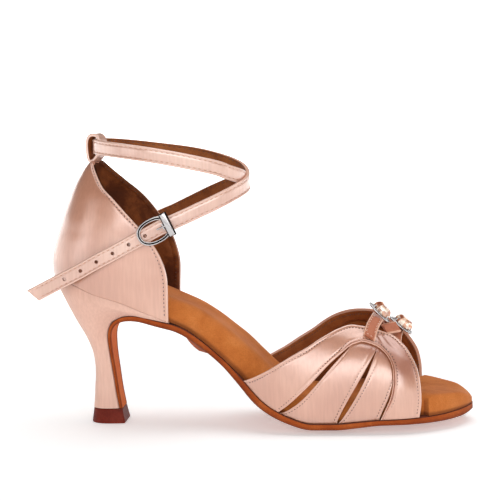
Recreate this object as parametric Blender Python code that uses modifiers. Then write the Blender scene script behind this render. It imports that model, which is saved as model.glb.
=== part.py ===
# Right-foot Latin dance sandal, about EU 38, standing on its heel tip and ball.
# Metres, +X towards the toe, +Y towards the inner side of the foot, +Z up.
# The origin is the centre of the heel tip's ground face.
import math

import bmesh
import bpy
from mathutils import Vector

# Overall sizes of the last and the sole
SHOE_LENGTH = 0.226
HEEL_SETBACK = 0.029
BALL_WIDTH = 0.080
SEAT_WIDTH = 0.0548
HEEL_HEIGHT = 0.081
CREST_HEIGHT = 0.0565
CREST_SHIFT = 0.004
COUNTER_HEIGHT = 0.062

# Walls, sheets and clearances
FIT = 0.0003
COUNTER_WALL = 0.0020
VAMP_WALL = 0.0018
BAND_STEP = 0.0009
SOLE_SHEET = 0.0034
SOLE_CAMBER = 0.0024
SOLE_OVERHANG = 0.0004
BED_THICKNESS = 0.0130
TIP_HEIGHT = 0.0078
TIP_FLARE = 0.0012

# Straps and slits
ANKLE_STRAP_WIDTH = 0.0078
ANKLE_STRAP_THICKNESS = 0.0020
BRIDGE_STRAP_WIDTH = 0.0073
BRIDGE_STRAP_THICKNESS = 0.0014
REAR_SLIT_WIDTH = 0.0028
MIDDLE_SLIT_WIDTH = 0.0029
FRONT_SLIT_WIDTH = 0.0008
SLIT_END_WIDTH = 0.0005
HOLE_DIAMETER = 0.0018
HOLE_PITCH = 0.0098
HOLE_COUNT = 6
HOLE_OFFSET = 0.0064

# Loop, buckle and jewels
LOOP_WIDTH = 0.0075
LOOP_THICKNESS = 0.0015
LOOP_DEPTH = 0.0096
LOOP_HEIGHT = 0.0144
BUCKLE_LENGTH = 0.0205
BUCKLE_HEIGHT = 0.0145
BUCKLE_WIRE = 0.0017
BAR_LENGTH = 0.0124
BAR_WIDTH = 0.0034
BAR_THICKNESS = 0.0016
PRONG_DIAMETER = 0.0013
RING_LENGTH = 0.0145
RING_WIDTH = 0.0104
RING_WIRE = 0.0012
SEAT_THICKNESS = 0.0010
CRYSTAL_LENGTH = 0.0088
CRYSTAL_WIDTH = 0.0070
CRYSTAL_HEIGHT = 0.0034

# Shares of the last's own form
WIDEST = 0.14
ROUNDNESS = 2.2
HEEL_ROUND_LENGTH = 0.181
HEEL_ROUNDNESS = 2.3
TOE_ROUND_LENGTH = 0.177
TOE_ROUNDNESS = 1.62
TOE_ROLL = 0.009
TOE_EDGE = 0.07
HEEL_ROUND_SHARE = 0.62

# Where the sole's sections lie: the ends of its middle run and, within its rounded heel
# and toe, shares of their lengths
WAIST_START = 0.325
TOE_START = 0.86
VAMP_START = 0.42
VAMP_END = 0.882
SOLE_TOE_SHARES = (0.70, 0.55, 0.40, 0.28, 0.18, 0.10, 0.045, 0.012, 0.001)
BED_HEEL_SHARES = (0.001, 0.012, 0.045, 0.10, 0.18, 0.30, 0.45, 0.65, 0.85)
BED_TOE_SHARES = (0.72, 0.60, 0.48, 0.36, 0.25, 0.16, 0.09, 0.045, 0.012, 0.001)

# The last along its length: feather line, half widths, sheet and its underside's camber,
# bed thickness and crest, as shares of heel height, ball width, sheet, camber, bed and
# crest height. The camber's first swelling is the suede's soft fold under the waist.
SOLE_COLUMNS = ("along", "height", "outer", "inner", "sheet", "camber", "bed", "crest")
SOLE = (
    (0.000, 1.000, 0.3425, 0.3425, 0.70, 0.00, 0.72, 1.30),
    (0.030, 0.990, 0.3425, 0.3425, 0.70, 0.00, 0.74, 1.30),
    (0.060, 0.964, 0.3425, 0.3425, 0.70, 0.00, 0.76, 1.30),
    (0.110, 0.903, 0.3425, 0.3425, 0.70, 0.00, 0.78, 1.30),
    (0.173, 0.850, 0.3425, 0.3425, 0.70, 0.00, 0.80, 1.30),
    (0.238, 0.773, 0.3320, 0.3320, 0.80, 0.00, 0.84, 1.28),
    (0.291, 0.707, 0.3090, 0.3090, 0.90, 0.00, 0.88, 1.25),
    (0.310, 0.682, 0.3000, 0.2990, 0.92, 0.05, 0.90, 1.23),
    (0.328, 0.655, 0.2930, 0.2900, 0.95, 0.45, 0.92, 1.22),
    (0.349, 0.616, 0.2888, 0.2832, 0.92, 1.45, 0.93, 1.21),
    (0.370, 0.571, 0.2880, 0.2760, 0.90, 1.75, 0.95, 1.20),
    (0.393, 0.517, 0.2920, 0.2700, 0.88, 0.45, 0.96, 1.18),
    (0.424, 0.443, 0.3150, 0.2700, 0.90, 0.00, 0.98, 1.16),
    (0.463, 0.333, 0.3620, 0.2820, 1.00, 0.00, 1.02, 1.15),
    (0.500, 0.226, 0.4120, 0.3120, 1.10, 0.00, 1.02, 1.21),
    (0.530, 0.168, 0.4500, 0.3480, 1.10, 0.25, 0.97, 1.21),
    (0.575, 0.107, 0.4720, 0.4060, 1.04, 0.80, 0.86, 1.20),
    (0.624, 0.0716, 0.4810, 0.4620, 1.00, 1.03, 0.76, 1.15),
    (0.677, 0.0716, 0.4825, 0.4970, 1.00, 1.03, 0.72, 1.08),
    (0.726, 0.0820, 0.4780, 0.5130, 0.95, 0.90, 0.71, 1.00),
    (0.774, 0.0926, 0.4700, 0.5190, 0.88, 0.80, 0.71, 0.925),
    (0.805, 0.0950, 0.4640, 0.5190, 0.84, 0.70, 0.71, 0.845),
    (0.850, 0.0985, 0.4560, 0.5190, 0.80, 0.60, 0.71, 0.735),
    (0.885, 0.1010, 0.4500, 0.5190, 0.76, 0.50, 0.70, 0.630),
    (0.930, 0.1060, 0.4500, 0.5190, 0.72, 0.40, 0.65, 0.480),
    (0.970, 0.1140, 0.4500, 0.5190, 0.70, 0.25, 0.58, 0.320),
    (1.000, 0.1190, 0.4500, 0.5190, 0.68, 0.00, 0.50, 0.200),
)

# The sole's rear run under the heel's lip and down its breast: place of the sheet's upper
# face, half width and sheet thickness, shares of length, heel height, seat width and sheet
BREAST_COLUMNS = ("step", "along", "height", "half", "sheet")
BREAST = (
    (0, 0.3020, 0.6890, 0.430, 0.98),
    (1, 0.2790, 0.7030, 0.410, 0.94),
    (2, 0.2520, 0.7180, 0.385, 0.90),
    (3, 0.2255, 0.7340, 0.355, 0.86),
    (4, 0.2030, 0.7405, 0.325, 0.82),
    (5, 0.1810, 0.7370, 0.295, 0.78),
    (6, 0.1620, 0.7210, 0.268, 0.70),
    (7, 0.1470, 0.6930, 0.246, 0.60),
    (8, 0.1375, 0.6540, 0.224, 0.54),
    (9, 0.1330, 0.6050, 0.200, 0.49),
    (10, 0.1328, 0.5400, 0.178, 0.47),
    (11, 0.1358, 0.4500, 0.156, 0.45),
    (12, 0.1407, 0.3450, 0.142, 0.45),
    (13, 0.1465, 0.2150, 0.137, 0.45),
    (14, 0.1535, 0.1000, 0.142, 0.45),
)

# Heel sections from the tip to the seat: back and front point, greatest half width and
# half width at the breast
HEEL_COLUMNS = ("step", "back", "back_height", "front", "front_height", "half", "breast")
HEEL = (
    (0, 0.0858, 0.1000, 0.1535, 0.1000, 0.152, 0.144),
    (1, 0.0890, 0.2000, 0.1472, 0.2050, 0.145, 0.138),
    (2, 0.0925, 0.3250, 0.1410, 0.3400, 0.148, 0.142),
    (3, 0.0915, 0.4200, 0.1360, 0.4450, 0.166, 0.156),
    (4, 0.0850, 0.5080, 0.1328, 0.5360, 0.193, 0.177),
    (5, 0.0720, 0.5950, 0.1330, 0.6030, 0.232, 0.201),
    (6, 0.0540, 0.6890, 0.1390, 0.6620, 0.288, 0.229),
    (7, 0.0370, 0.7830, 0.1510, 0.7030, 0.348, 0.254),
    (8, 0.0230, 0.8640, 0.1770, 0.7350, 0.405, 0.293),
    (9, 0.0120, 0.9300, 0.2070, 0.7400, 0.452, 0.332),
    (10, 0.0045, 0.9780, 0.2500, 0.7195, 0.484, 0.384),
    (11, 0.0000, 1.0000, 0.2905, 0.7020, 0.500, 0.448),
)

# Counter sections from the seat to its top: back line, outer-side and inner-side front
# edge, as shares of length and of the counter's height over the seat, and girth
COUNTER_COLUMNS = ("up", "back", "back_up", "outer", "outer_up", "inner", "inner_up", "girth")
COUNTER = (
    (0.0, 0.0000, 0.000, 0.2890, -0.380, 0.2890, -0.380, 1.000),
    (0.1, -0.0018, 0.110, 0.2890, -0.175, 0.2900, -0.175, 1.005),
    (0.2, 0.0008, 0.215, 0.2870, 0.040, 0.2920, 0.040, 1.010),
    (0.3, 0.0090, 0.325, 0.2700, 0.225, 0.2810, 0.235, 1.010),
    (0.4, 0.0190, 0.430, 0.2480, 0.350, 0.2640, 0.370, 1.000),
    (0.5, 0.0290, 0.535, 0.2220, 0.465, 0.2420, 0.495, 0.980),
    (0.6, 0.0405, 0.640, 0.1930, 0.580, 0.2160, 0.620, 0.945),
    (0.7, 0.0530, 0.745, 0.1650, 0.690, 0.1920, 0.715, 0.900),
    (0.8, 0.0675, 0.848, 0.1395, 0.780, 0.1680, 0.795, 0.840),
    (0.9, 0.0825, 0.940, 0.1215, 0.880, 0.1390, 0.895, 0.770),
    (1.0, 0.0965, 1.000, 0.1060, 0.985, 0.1120, 0.998, 0.690),
)

# The arch of each half of the vamp, rear foot to front foot: its outline on either side
# and the inner edge of its band, as shares of length and of the crest's height
ARCH_COLUMNS = ("step", "outer", "outer_up", "inner", "inner_up", "edge", "edge_up")
ARCH = (
    (0, 0.4640, 0.000, 0.4640, 0.000, 0.5460, 0.000),
    (1, 0.5070, 0.186, 0.5080, 0.190, 0.5755, 0.120),
    (2, 0.5530, 0.358, 0.5530, 0.360, 0.6075, 0.262),
    (3, 0.5965, 0.516, 0.5965, 0.512, 0.6375, 0.385),
    (4, 0.6285, 0.631, 0.6285, 0.630, 0.6660, 0.505),
    (5, 0.6570, 0.722, 0.6570, 0.728, 0.6900, 0.598),
    (6, 0.6860, 0.800, 0.6860, 0.820, 0.7120, 0.675),
    (7, 0.7125, 0.850, 0.7125, 0.885, 0.7285, 0.712),
    (8, 0.7410, 0.860, 0.7410, 0.924, 0.7430, 0.730),
    (9, 0.7790, 0.868, 0.7790, 0.938, 0.7650, 0.722),
    (10, 0.8110, 0.890, 0.8130, 0.930, 0.7850, 0.700),
    (11, 0.8320, 0.860, 0.8360, 0.890, 0.7995, 0.655),
    (12, 0.8500, 0.790, 0.8550, 0.815, 0.8080, 0.580),
    (13, 0.8665, 0.642, 0.8740, 0.680, 0.8100, 0.480),
    (14, 0.8730, 0.452, 0.8830, 0.480, 0.8090, 0.370),
    (15, 0.8750, 0.227, 0.8850, 0.240, 0.8020, 0.220),
    (16, 0.8700, 0.000, 0.8780, 0.000, 0.7810, 0.000),
)
ARCH_END = 16
REAR_STRAP_TOP = 6.0
MIDDLE_SLIT_TOP = 9.5
FRONT_STRAP_TOP = 13.5
MIDDLE_SLIT_FOOT = 0.6825
MIDDLE_SLIT_SAG = 0.006
STEP_SLOPE = 0.03

# The ankle strap's centre line from its seam on the inner side of the counter, round the
# instep, through the back loop, round again and over the buckle to its free end: shares
# of length, of seat width and of counter height over the seat
ANKLE_COLUMNS = ("along", "across", "up")
ANKLE = (
    (0.201, 0.536, 0.385),
    (0.243, 0.532, 0.464),
    (0.279, 0.515, 0.518),
    (0.318, 0.474, 0.585),
    (0.371, 0.365, 0.676),
    (0.419, 0.219, 0.752),
    (0.452, 0.073, 0.798),
    (0.4645, -0.055, 0.821),
    (0.4585, -0.182, 0.853),
    (0.433, -0.310, 0.895),
    (0.405, -0.383, 0.939),
    (0.331, -0.474, 1.006),
    (0.258, -0.493, 1.058),
    (0.196, -0.420, 1.090),
    (0.151, -0.292, 1.108),
    (0.1185, -0.146, 1.121),
    (0.1060, 0.000, 1.124),
    (0.1070, 0.128, 1.127),
    (0.1240, 0.274, 1.126),
    (0.163, 0.401, 1.111),
    (0.221, 0.493, 1.082),
    (0.328, 0.493, 1.026),
    (0.397, 0.383, 0.968),
    (0.442, 0.255, 0.913),
    (0.4650, 0.110, 0.862),
    (0.4740, -0.036, 0.812),
    (0.4705, -0.164, 0.775),
    (0.4570, -0.274, 0.742),
    (0.4367, -0.365, 0.703),
    (0.404, -0.438, 0.645),
    (0.368, -0.484, 0.587),
    (0.334, -0.511, 0.532),
    (0.311, -0.526, 0.497),
    (0.278, -0.540, 0.445),
    (0.240, -0.545, 0.374),
    (0.203, -0.546, 0.305),
    (0.162, -0.546, 0.227),
    (0.123, -0.546, 0.156),
    (0.084, -0.542, 0.079),
    (0.043, -0.534, 0.006),
    (0.004, -0.524, -0.066),
    (-0.0265, -0.508, -0.122),
)
ANKLE_CENTRE = 0.30
ANKLE_REACH = 0.185
FREE_END_START = 31
BUCKLE_ROW = 33
BUCKLE_SHIFT = 0.25

COLOURS = {
    "satin": ((0.80, 0.50, 0.40, 1.0), 0.40, 0.0),
    "pale_satin": ((0.84, 0.60, 0.49, 1.0), 0.55, 0.0),
    "sole_suede": ((0.42, 0.12, 0.02, 1.0), 0.95, 0.0),
    "bed_suede": ((0.55, 0.22, 0.06, 1.0), 0.90, 0.0),
    "tip_rubber": ((0.14, 0.04, 0.03, 1.0), 0.60, 0.0),
    "silver": ((0.70, 0.70, 0.72, 1.0), 0.18, 1.0),
    "crystal": ((0.90, 0.62, 0.46, 1.0), 0.05, 0.0),
}
OUTER = -1.0
INNER = 1.0


def read(table, columns, name, at):
    """Smooth value of a named column, by the first column."""
    column = columns.index(name)
    last = len(table) - 1
    row = 0
    while row < last - 1 and table[row + 1][0] <= at:
        row += 1
    start = table[row]
    end = table[row + 1]
    span = end[0] - start[0]
    share = min(max((at - start[0]) / span, 0.0), 1.0)

    def slope(index):
        before = table[max(index - 1, 0)]
        after = table[min(index + 1, last)]
        left = table[index][column] - before[column]
        right = after[column] - table[index][column]
        if left * right <= 0.0:
            return 0.0
        return (left + right) / (after[0] - before[0])

    rise = end[column] - start[column]
    first = slope(row) * span
    second = slope(row + 1) * span
    bend = (3.0 * rise - 2.0 * first - second) * share ** 2
    return start[column] + first * share + bend + (first + second - 2.0 * rise) * share ** 3


def named(columns, row):
    return dict(zip(columns, row))


def along(share):
    return share * SHOE_LENGTH - HEEL_SETBACK


def share_along(x):
    return (x + HEEL_SETBACK) / SHOE_LENGTH


def sole(name, x):
    return read(SOLE, SOLE_COLUMNS, name, share_along(x))


def feather(x):
    """Height of the line where the upper meets the sole."""
    return sole("height", x) * HEEL_HEIGHT


def superellipse(share, power):
    return (1.0 - min(max(1.0 - share, 0.0), 1.0) ** power) ** (1.0 / power)


def outline(x, side, inset=0.0):
    """Half width of the shoe in plan, with its ends rounded, drawn in by the inset."""
    share = share_along(x)
    inset_share = inset / SHOE_LENGTH
    heel = superellipse((share - inset_share) / HEEL_ROUND_LENGTH, HEEL_ROUNDNESS)
    toe = superellipse((1.0 - share - inset_share) / TOE_ROUND_LENGTH, TOE_ROUNDNESS)
    name = "outer" if side < 0.0 else "inner"
    return (sole(name, x) * BALL_WIDTH - inset) * heel * toe


def flank(x, up, side, inset):
    """A point of the vamp's surface at a share of the crest's height."""
    foot = feather(x) + FIT
    rise = sole("crest", x) * CREST_HEIGHT - inset
    level = abs(up - WIDEST) / (1.0 - WIDEST)
    reach = (1.0 - min(level, 1.0) ** ROUNDNESS) ** (1.0 / ROUNDNESS)
    half = outline(x, side) - inset - side * CREST_SHIFT
    return Vector((x, CREST_SHIFT + side * half * reach, foot + up * rise))


def crown(x, y, inset):
    """Height of the vamp's surface over a place in plan near the crest."""
    side = INNER if y > CREST_SHIFT else OUTER
    half = outline(x, side) - inset - side * CREST_SHIFT
    reach = min(abs(y - CREST_SHIFT) / half, 1.0)
    level = (1.0 - reach ** ROUNDNESS) ** (1.0 / ROUNDNESS)
    rise = sole("crest", x) * CREST_HEIGHT - inset
    return feather(x) + FIT + (WIDEST + (1.0 - WIDEST) * level) * rise


def seat_half(x, back, girth):
    """Half width of the heel end at a level whose back lies at the given place."""
    return girth * outline(x - back - HEEL_SETBACK, OUTER) * SEAT_WIDTH / (
        2.0 * BALL_WIDTH * SOLE[0][SOLE_COLUMNS.index("outer")])


def smooth_path(points, per_span):
    """Points of a Catmull-Rom curve through the given ones."""
    path = []
    last = len(points) - 1
    for index in range(last):
        p0 = points[max(index - 1, 0)]
        p1 = points[index]
        p2 = points[index + 1]
        p3 = points[min(index + 2, last)]
        for step in range(per_span):
            t = step / per_span
            path.append(0.5 * (2.0 * p1 + (p2 - p0) * t
                               + (2.0 * p0 - 5.0 * p1 + 4.0 * p2 - p3) * t ** 2
                               + (3.0 * p1 - p0 - 3.0 * p2 + p3) * t ** 3))
    path.append(points[last].copy())
    return path


def material(name):
    found = bpy.data.materials.get(name)
    if found:
        return found
    colour, roughness, metallic = COLOURS[name]
    made = bpy.data.materials.new(name)
    made.use_nodes = True
    surface = made.node_tree.nodes["Principled BSDF"]
    surface.inputs["Base Color"].default_value = colour
    surface.inputs["Roughness"].default_value = roughness
    surface.inputs["Metallic"].default_value = metallic
    made.diffuse_color = colour
    return made


def new_object(name, bm, finish, smooth=True):
    """A named object from a bmesh, its faces turned outwards."""
    bmesh.ops.remove_doubles(bm, verts=bm.verts, dist=1e-6)
    bmesh.ops.dissolve_degenerate(bm, edges=bm.edges, dist=1e-6)
    bmesh.ops.recalc_face_normals(bm, faces=bm.faces)
    mesh = bpy.data.meshes.new(name)
    bm.to_mesh(mesh)
    bm.free()
    made = bpy.data.objects.new(name, mesh)
    shoe.objects.link(made)
    mesh.materials.append(material(finish))
    if smooth:
        mesh.shade_smooth()
    return made


def loft(name, rings, finish, ladder=False):
    """A closed solid through rings of equal counts, capped flat or by rungs."""
    bm = bmesh.new()
    rows = [[bm.verts.new(point) for point in ring] for ring in rings]
    count = len(rows[0])
    for lower, upper in zip(rows, rows[1:]):
        for index in range(count):
            after = (index + 1) % count
            bm.faces.new((lower[index], lower[after], upper[after], upper[index]))
    for row in (rows[0], rows[-1]):
        if ladder:
            for index in range(count // 2 - 1):
                far = count - 1 - index
                bm.faces.new((row[index], row[index + 1], row[far - 1], row[far]))
        else:
            bm.faces.new(row)
    return new_object(name, bm, finish)


def apply_modifiers(target):
    """Replace an object's mesh by its evaluated one."""
    bpy.context.view_layer.update()
    evaluated = target.evaluated_get(bpy.context.evaluated_depsgraph_get())
    mesh = bpy.data.meshes.new_from_object(evaluated)
    mesh.name = target.name
    target.modifiers.clear()
    target.data = mesh


def cut(target, cutters, operation="DIFFERENCE"):
    """Boolean the cutters with the target."""
    for cutter in cutters:
        boolean = target.modifiers.new(cutter.name, "BOOLEAN")
        boolean.operation = operation
        boolean.solver = "EXACT"
        boolean.object = cutter
    apply_modifiers(target)
    bm = bmesh.new()
    bm.from_mesh(target.data)
    bmesh.ops.remove_doubles(bm, verts=bm.verts, dist=1e-6)
    bmesh.ops.dissolve_degenerate(bm, edges=bm.edges, dist=1e-6)
    bm.to_mesh(target.data)
    bm.free()


def as_cutter(cutter):
    shoe.objects.unlink(cutter)
    cutters_collection.objects.link(cutter)
    cutter.display_type = "WIRE"
    cutter.hide_render = True
    return cutter


def wire(name, points, diameter, finish, closed=False, resolution=2):
    """A round wire along the points."""
    curve = bpy.data.curves.new(name, "CURVE")
    curve.dimensions = "3D"
    curve.bevel_depth = diameter / 2.0
    curve.bevel_resolution = resolution
    curve.use_fill_caps = True
    spline = curve.splines.new("POLY")
    spline.points.add(len(points) - 1)
    for target, point in zip(spline.points, points):
        target.co = (*point, 1.0)
    spline.use_cyclic_u = closed
    drawn = bpy.data.objects.new(name, curve)
    shoe.objects.link(drawn)
    bpy.context.view_layer.update()
    mesh = bpy.data.meshes.new_from_object(drawn)
    bpy.data.objects.remove(drawn)
    bpy.data.curves.remove(curve)
    bm = bmesh.new()
    bm.from_mesh(mesh)
    bpy.data.meshes.remove(mesh)
    return new_object(name, bm, finish)


def ribbon_rings(path, faces, width, thickness):
    """Rectangular sections along a path, with the wide side facing each given way."""
    rings = []
    last = len(path) - 1
    for index, point in enumerate(path):
        way = (path[min(index + 1, last)] - path[max(index - 1, 0)]).normalized()
        face = (faces[index] - way * faces[index].dot(way)).normalized()
        rise = way.cross(face) * width / 2.0
        out = face * thickness / 2.0
        rings.append((point - rise - out, point + rise - out,
                      point + rise + out, point - rise + out))
    return rings


def sole_frame(x):
    """The feather line's point in side view and the way up from it."""
    step = 0.001
    rise = feather(x + step) - feather(x - step)
    upward = Vector((-rise, 0.0, 2.0 * step)).normalized()
    return Vector((x, 0.0, feather(x))), upward


def body_places(start):
    """The table's places between the rounded ends, and their middles under the vamp."""
    rows = [row[0] for row in SOLE if start < row[0] < TOE_START]
    middles = [(a + b) / 2.0 for a, b in zip(rows, rows[1:]) if a > VAMP_START]
    return [along(share) for share in rows + middles]


def make_outsole():
    """Suede sheet from the toe up the waist, under the heel's lip and down its breast."""
    toe = [along(1.0) - TOE_ROUND_LENGTH * share * SHOE_LENGTH for share in SOLE_TOE_SHARES]
    body = body_places(WAIST_START)
    rings = []
    for x in sorted(body + toe, reverse=True):
        centre, upward = sole_frame(x)
        sheet = sole("sheet", x) * SOLE_SHEET
        camber = sole("camber", x) * SOLE_CAMBER
        left = outline(x, OUTER) + SOLE_OVERHANG
        right = outline(x, INNER) + SOLE_OVERHANG
        rings.append(sheet_ring(centre, upward, left, right, sheet, camber))
    rows = [named(BREAST_COLUMNS, row) for row in BREAST]
    centres = [Vector((along(row["along"]), 0.0, row["height"] * HEEL_HEIGHT)) for row in rows]
    for index, row in enumerate(rows):
        way = centres[min(index + 1, len(rows) - 1)] - centres[max(index - 1, 0)]
        upward = Vector((way.z, 0.0, -way.x)).normalized()
        half = row["half"] * SEAT_WIDTH
        rings.append(sheet_ring(centres[index], upward, half, half, row["sheet"] * SOLE_SHEET, 0.0))
    lowest = TIP_HEIGHT + FIT
    rings[-1] = [Vector((point.x, point.y, lowest)) for point in rings[-1]]
    return loft("outsole", rings, "sole_suede")


def sheet_ring(centre, upward, left, right, sheet, camber):
    """Section of the sole sheet: flat above, cambered below and flat on the floor."""
    shape = ((-1.0, 0.0), (-1.0, 0.55), (-0.965, 1.0), (-0.55, 1.0), (0.55, 1.0),
             (0.965, 1.0), (1.0, 0.55), (1.0, 0.0), (0.45, 0.0), (-0.45, 0.0))
    ring = []
    for across, depth in shape:
        half = left if across < 0.0 else right
        sag = camber if abs(across) < 0.6 and depth == 1.0 else 0.0
        offset = -upward * (sheet * depth + sag)
        point = centre + offset + Vector((0.0, across * half, 0.0))
        point.z = max(point.z, 0.0)
        ring.append(point)
    return ring


def bed_inset(x):
    """How far the footbed stays inside the outline: at the counter, waist, vamp and toe."""
    share = share_along(x)
    vamp_inset = VAMP_WALL + BAND_STEP + 3.0 * FIT
    counter_inset = COUNTER_WALL + 2.0 * FIT
    steps = ((0.0, counter_inset), (0.30, counter_inset), (0.40, FIT), (0.424, FIT),
             (0.46, vamp_inset), (VAMP_END, vamp_inset), (0.93, FIT), (1.0, FIT))
    for (start, before), (end, after) in zip(steps, steps[1:]):
        if share < end:
            return before + max(share - start, 0.0) / (end - start) * (after - before)
    return FIT


def make_insole():
    """Padded footbed with rounded sides along the whole shoe."""
    start = -HEEL_SETBACK + COUNTER_WALL + 2.0 * FIT
    end = along(1.0) - FIT
    places = [start + HEEL_ROUND_LENGTH * SHOE_LENGTH * share for share in BED_HEEL_SHARES]
    places += body_places(HEEL_ROUND_LENGTH) + [along(VAMP_END)]
    places += [end - TOE_ROUND_LENGTH * SHOE_LENGTH * share for share in BED_TOE_SHARES]
    rings = []
    for x in sorted(places):
        centre, upward = sole_frame(x)
        inset = bed_inset(x)
        left = outline(x, OUTER, inset)
        right = outline(x, INNER, inset)
        thick = sole("bed", x) * BED_THICKNESS
        thick *= superellipse((end - x) / TOE_ROLL + TOE_EDGE, 2.0)
        centre += upward * FIT
        rings.append(bed_ring(centre, upward, left, right, thick))
    return loft("insole", rings, "bed_suede")


def bed_ring(centre, upward, left, right, thick):
    """Section of the footbed: flat below, bulging sides rolled over to a dished top."""
    shape = ((-1.0, 0.0, 0.0), (-1.0, 0.0, 0.45), (-1.0, 0.10, 0.74), (-1.0, 0.28, 0.93),
             (-1.0, 0.60, 1.0), (-0.45, 0.0, 0.97), (0.0, 0.0, 0.95), (0.45, 0.0, 0.97),
             (1.0, 0.60, 1.0), (1.0, 0.28, 0.93), (1.0, 0.10, 0.74), (1.0, 0.0, 0.45),
             (1.0, 0.0, 0.0), (0.4, 0.0, 0.0), (-0.4, 0.0, 0.0))
    ring = []
    for across, draw, level in shape:
        half = left if across < 0.0 else right
        drawn_in = draw * min(thick, half)
        reach = across * half - math.copysign(drawn_in, across)
        ring.append(centre + upward * thick * level + Vector((0.0, reach, 0.0)))
    return ring


def heel_ring(level, gap):
    """Ring of one heel level: round at the back, straight across the breast."""
    row = named(HEEL_COLUMNS, HEEL[level])
    back = Vector((along(row["back"]), 0.0, row["back_height"] * HEEL_HEIGHT))
    front = Vector((along(row["front"]) - gap, 0.0, row["front_height"] * HEEL_HEIGHT + gap))
    is_seat = level == len(HEEL) - 1
    shares = (1.0, 0.86, 0.72, 0.58, 0.44, 0.31, 0.20, 0.11, 0.045, 0.01)
    side_points = []
    for share in shares:
        spot = back.lerp(front, share)
        if is_seat:
            spot.z = feather(spot.x)
            half = seat_half(spot.x, -HEEL_SETBACK, 1.0)
        else:
            full = superellipse(share / HEEL_ROUND_SHARE, HEEL_ROUNDNESS) * row["half"]
            forward = max(0.0, (share - HEEL_ROUND_SHARE) / (1.0 - HEEL_ROUND_SHARE))
            half = (full - forward ** 1.5 * (row["half"] - row["breast"])) * SEAT_WIDTH
        side_points.append((spot, half))
    ring = [spot + Vector((0.0, -half, 0.0)) for spot, half in side_points]
    ring += [spot + Vector((0.0, half, 0.0)) for spot, half in reversed(side_points)]
    return ring


def make_heel():
    rings = [heel_ring(level, FIT) for level in range(len(HEEL))]
    rings[0] = [Vector((point.x, point.y, TIP_HEIGHT + FIT)) for point in rings[0]]
    return loft("heel", rings, "pale_satin", ladder=True)


def make_heel_tip():
    """Rubber top piece under the heel and the end of the sole's breast flap."""
    base = heel_ring(0, 0.0)
    middle = sum((point.x for point in base)) / len(base)
    flap = named(BREAST_COLUMNS, BREAST[-1])["sheet"] * SOLE_SHEET
    front = max(point.x for point in base)
    rings = []
    for height, grow in ((TIP_HEIGHT, 0.0), (TIP_HEIGHT * 0.55, 0.45), (TIP_HEIGHT * 0.06, 1.0),
                         (0.0, 0.85)):
        ring = []
        for point in base:
            length = front - base[len(base) // 2].x
            push = flap * max(0.0, (point.x - middle) / (front - middle))
            spread = 1.0 + grow * TIP_FLARE * 2.0 / length
            x = middle + (point.x - middle) * spread + push
            ring.append(Vector((x, point.y * spread, height)))
        rings.append(ring)
    return loft("heel_tip", rings, "tip_rubber", ladder=True)


def counter(name, up):
    return read(COUNTER, COUNTER_COLUMNS, name, up)


def counter_point(turn, up):
    """A point of the heel cup's outer face; turn runs from the outer edge to the inner."""
    side = "outer" if turn < 0.0 else "inner"
    rise = COUNTER_HEIGHT
    back = Vector((along(counter("back", up)), 0.0, HEEL_HEIGHT + counter("back_up", up) * rise))
    edge = Vector((along(counter(side, up)), 0.0,
                   HEEL_HEIGHT + counter(side + "_up", up) * rise))
    spot = back.lerp(edge, abs(turn) ** 2.0)
    half = seat_half(spot.x, back.x, counter("girth", up))
    spot.y = math.copysign(half, turn)
    if up == 0.0:
        spot.z = feather(spot.x) + FIT
    return spot


def make_counter():
    """Hollow heel cup, open above, in front and below."""
    bm = bmesh.new()
    columns = 32
    rows = 11
    bmesh.ops.create_grid(bm, x_segments=columns, y_segments=rows, size=1.0)
    for vertex in bm.verts:
        turn = vertex.co.x
        up = (vertex.co.y + 1.0) / 2.0
        vertex.co = counter_point(turn, up if up > 1e-6 else 0.0)
    cup = new_object("counter", bm, "satin")
    if cup.data.polygons[0].normal.dot(cup.data.polygons[0].center) < 0.0:
        cup.data.flip_normals()
    wall = cup.modifiers.new("wall", "SOLIDIFY")
    wall.thickness = COUNTER_WALL
    wall.offset = -1.0
    wall.use_even_offset = True
    apply_modifiers(cup)
    return cup


def arch(name, step):
    return read(ARCH, ARCH_COLUMNS, name, step)


def band_edge(step):
    """Inner edge of the arched band, as a place along the sole and a share of height."""
    return Vector((along(arch("edge", step)), arch("edge_up", step)))


def strap_patch(left, right, bottom, top):
    """A four-sided patch between its edges, blended from all of them."""
    def place(u, v):
        sides = left(v).lerp(right(v), u)
        low = bottom(u) - left(0.0).lerp(right(0.0), u)
        high = top(u) - left(1.0).lerp(right(1.0), u)
        return sides + low * (1.0 - v) + high * v
    return place


def leaf(v, width):
    """Width of a leaf-shaped slit, widest below its middle."""
    return SLIT_END_WIDTH * (1.0 - v) + width * math.sin(math.pi * v ** 0.6)


def offset_edge(start, end, width, turn):
    """A strap's edge that runs along the band's inner edge at the slit's width."""
    def place(v):
        step = start + (end - start) * v
        here = band_edge(step)
        shift = leaf(v, width) * turn
        return Vector((here.x + shift, here.y))
    return place


def middle_slit(turn):
    """Either edge of the slit between the two inner straps."""
    foot = Vector((along(MIDDLE_SLIT_FOOT), 0.0))

    def place(v):
        here = foot.lerp(band_edge(MIDDLE_SLIT_TOP), v)
        here.x += MIDDLE_SLIT_SAG * SHOE_LENGTH * math.sin(math.pi * v)
        here.x += turn * leaf(v, MIDDLE_SLIT_WIDTH) / 2.0
        return here
    return place


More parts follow.
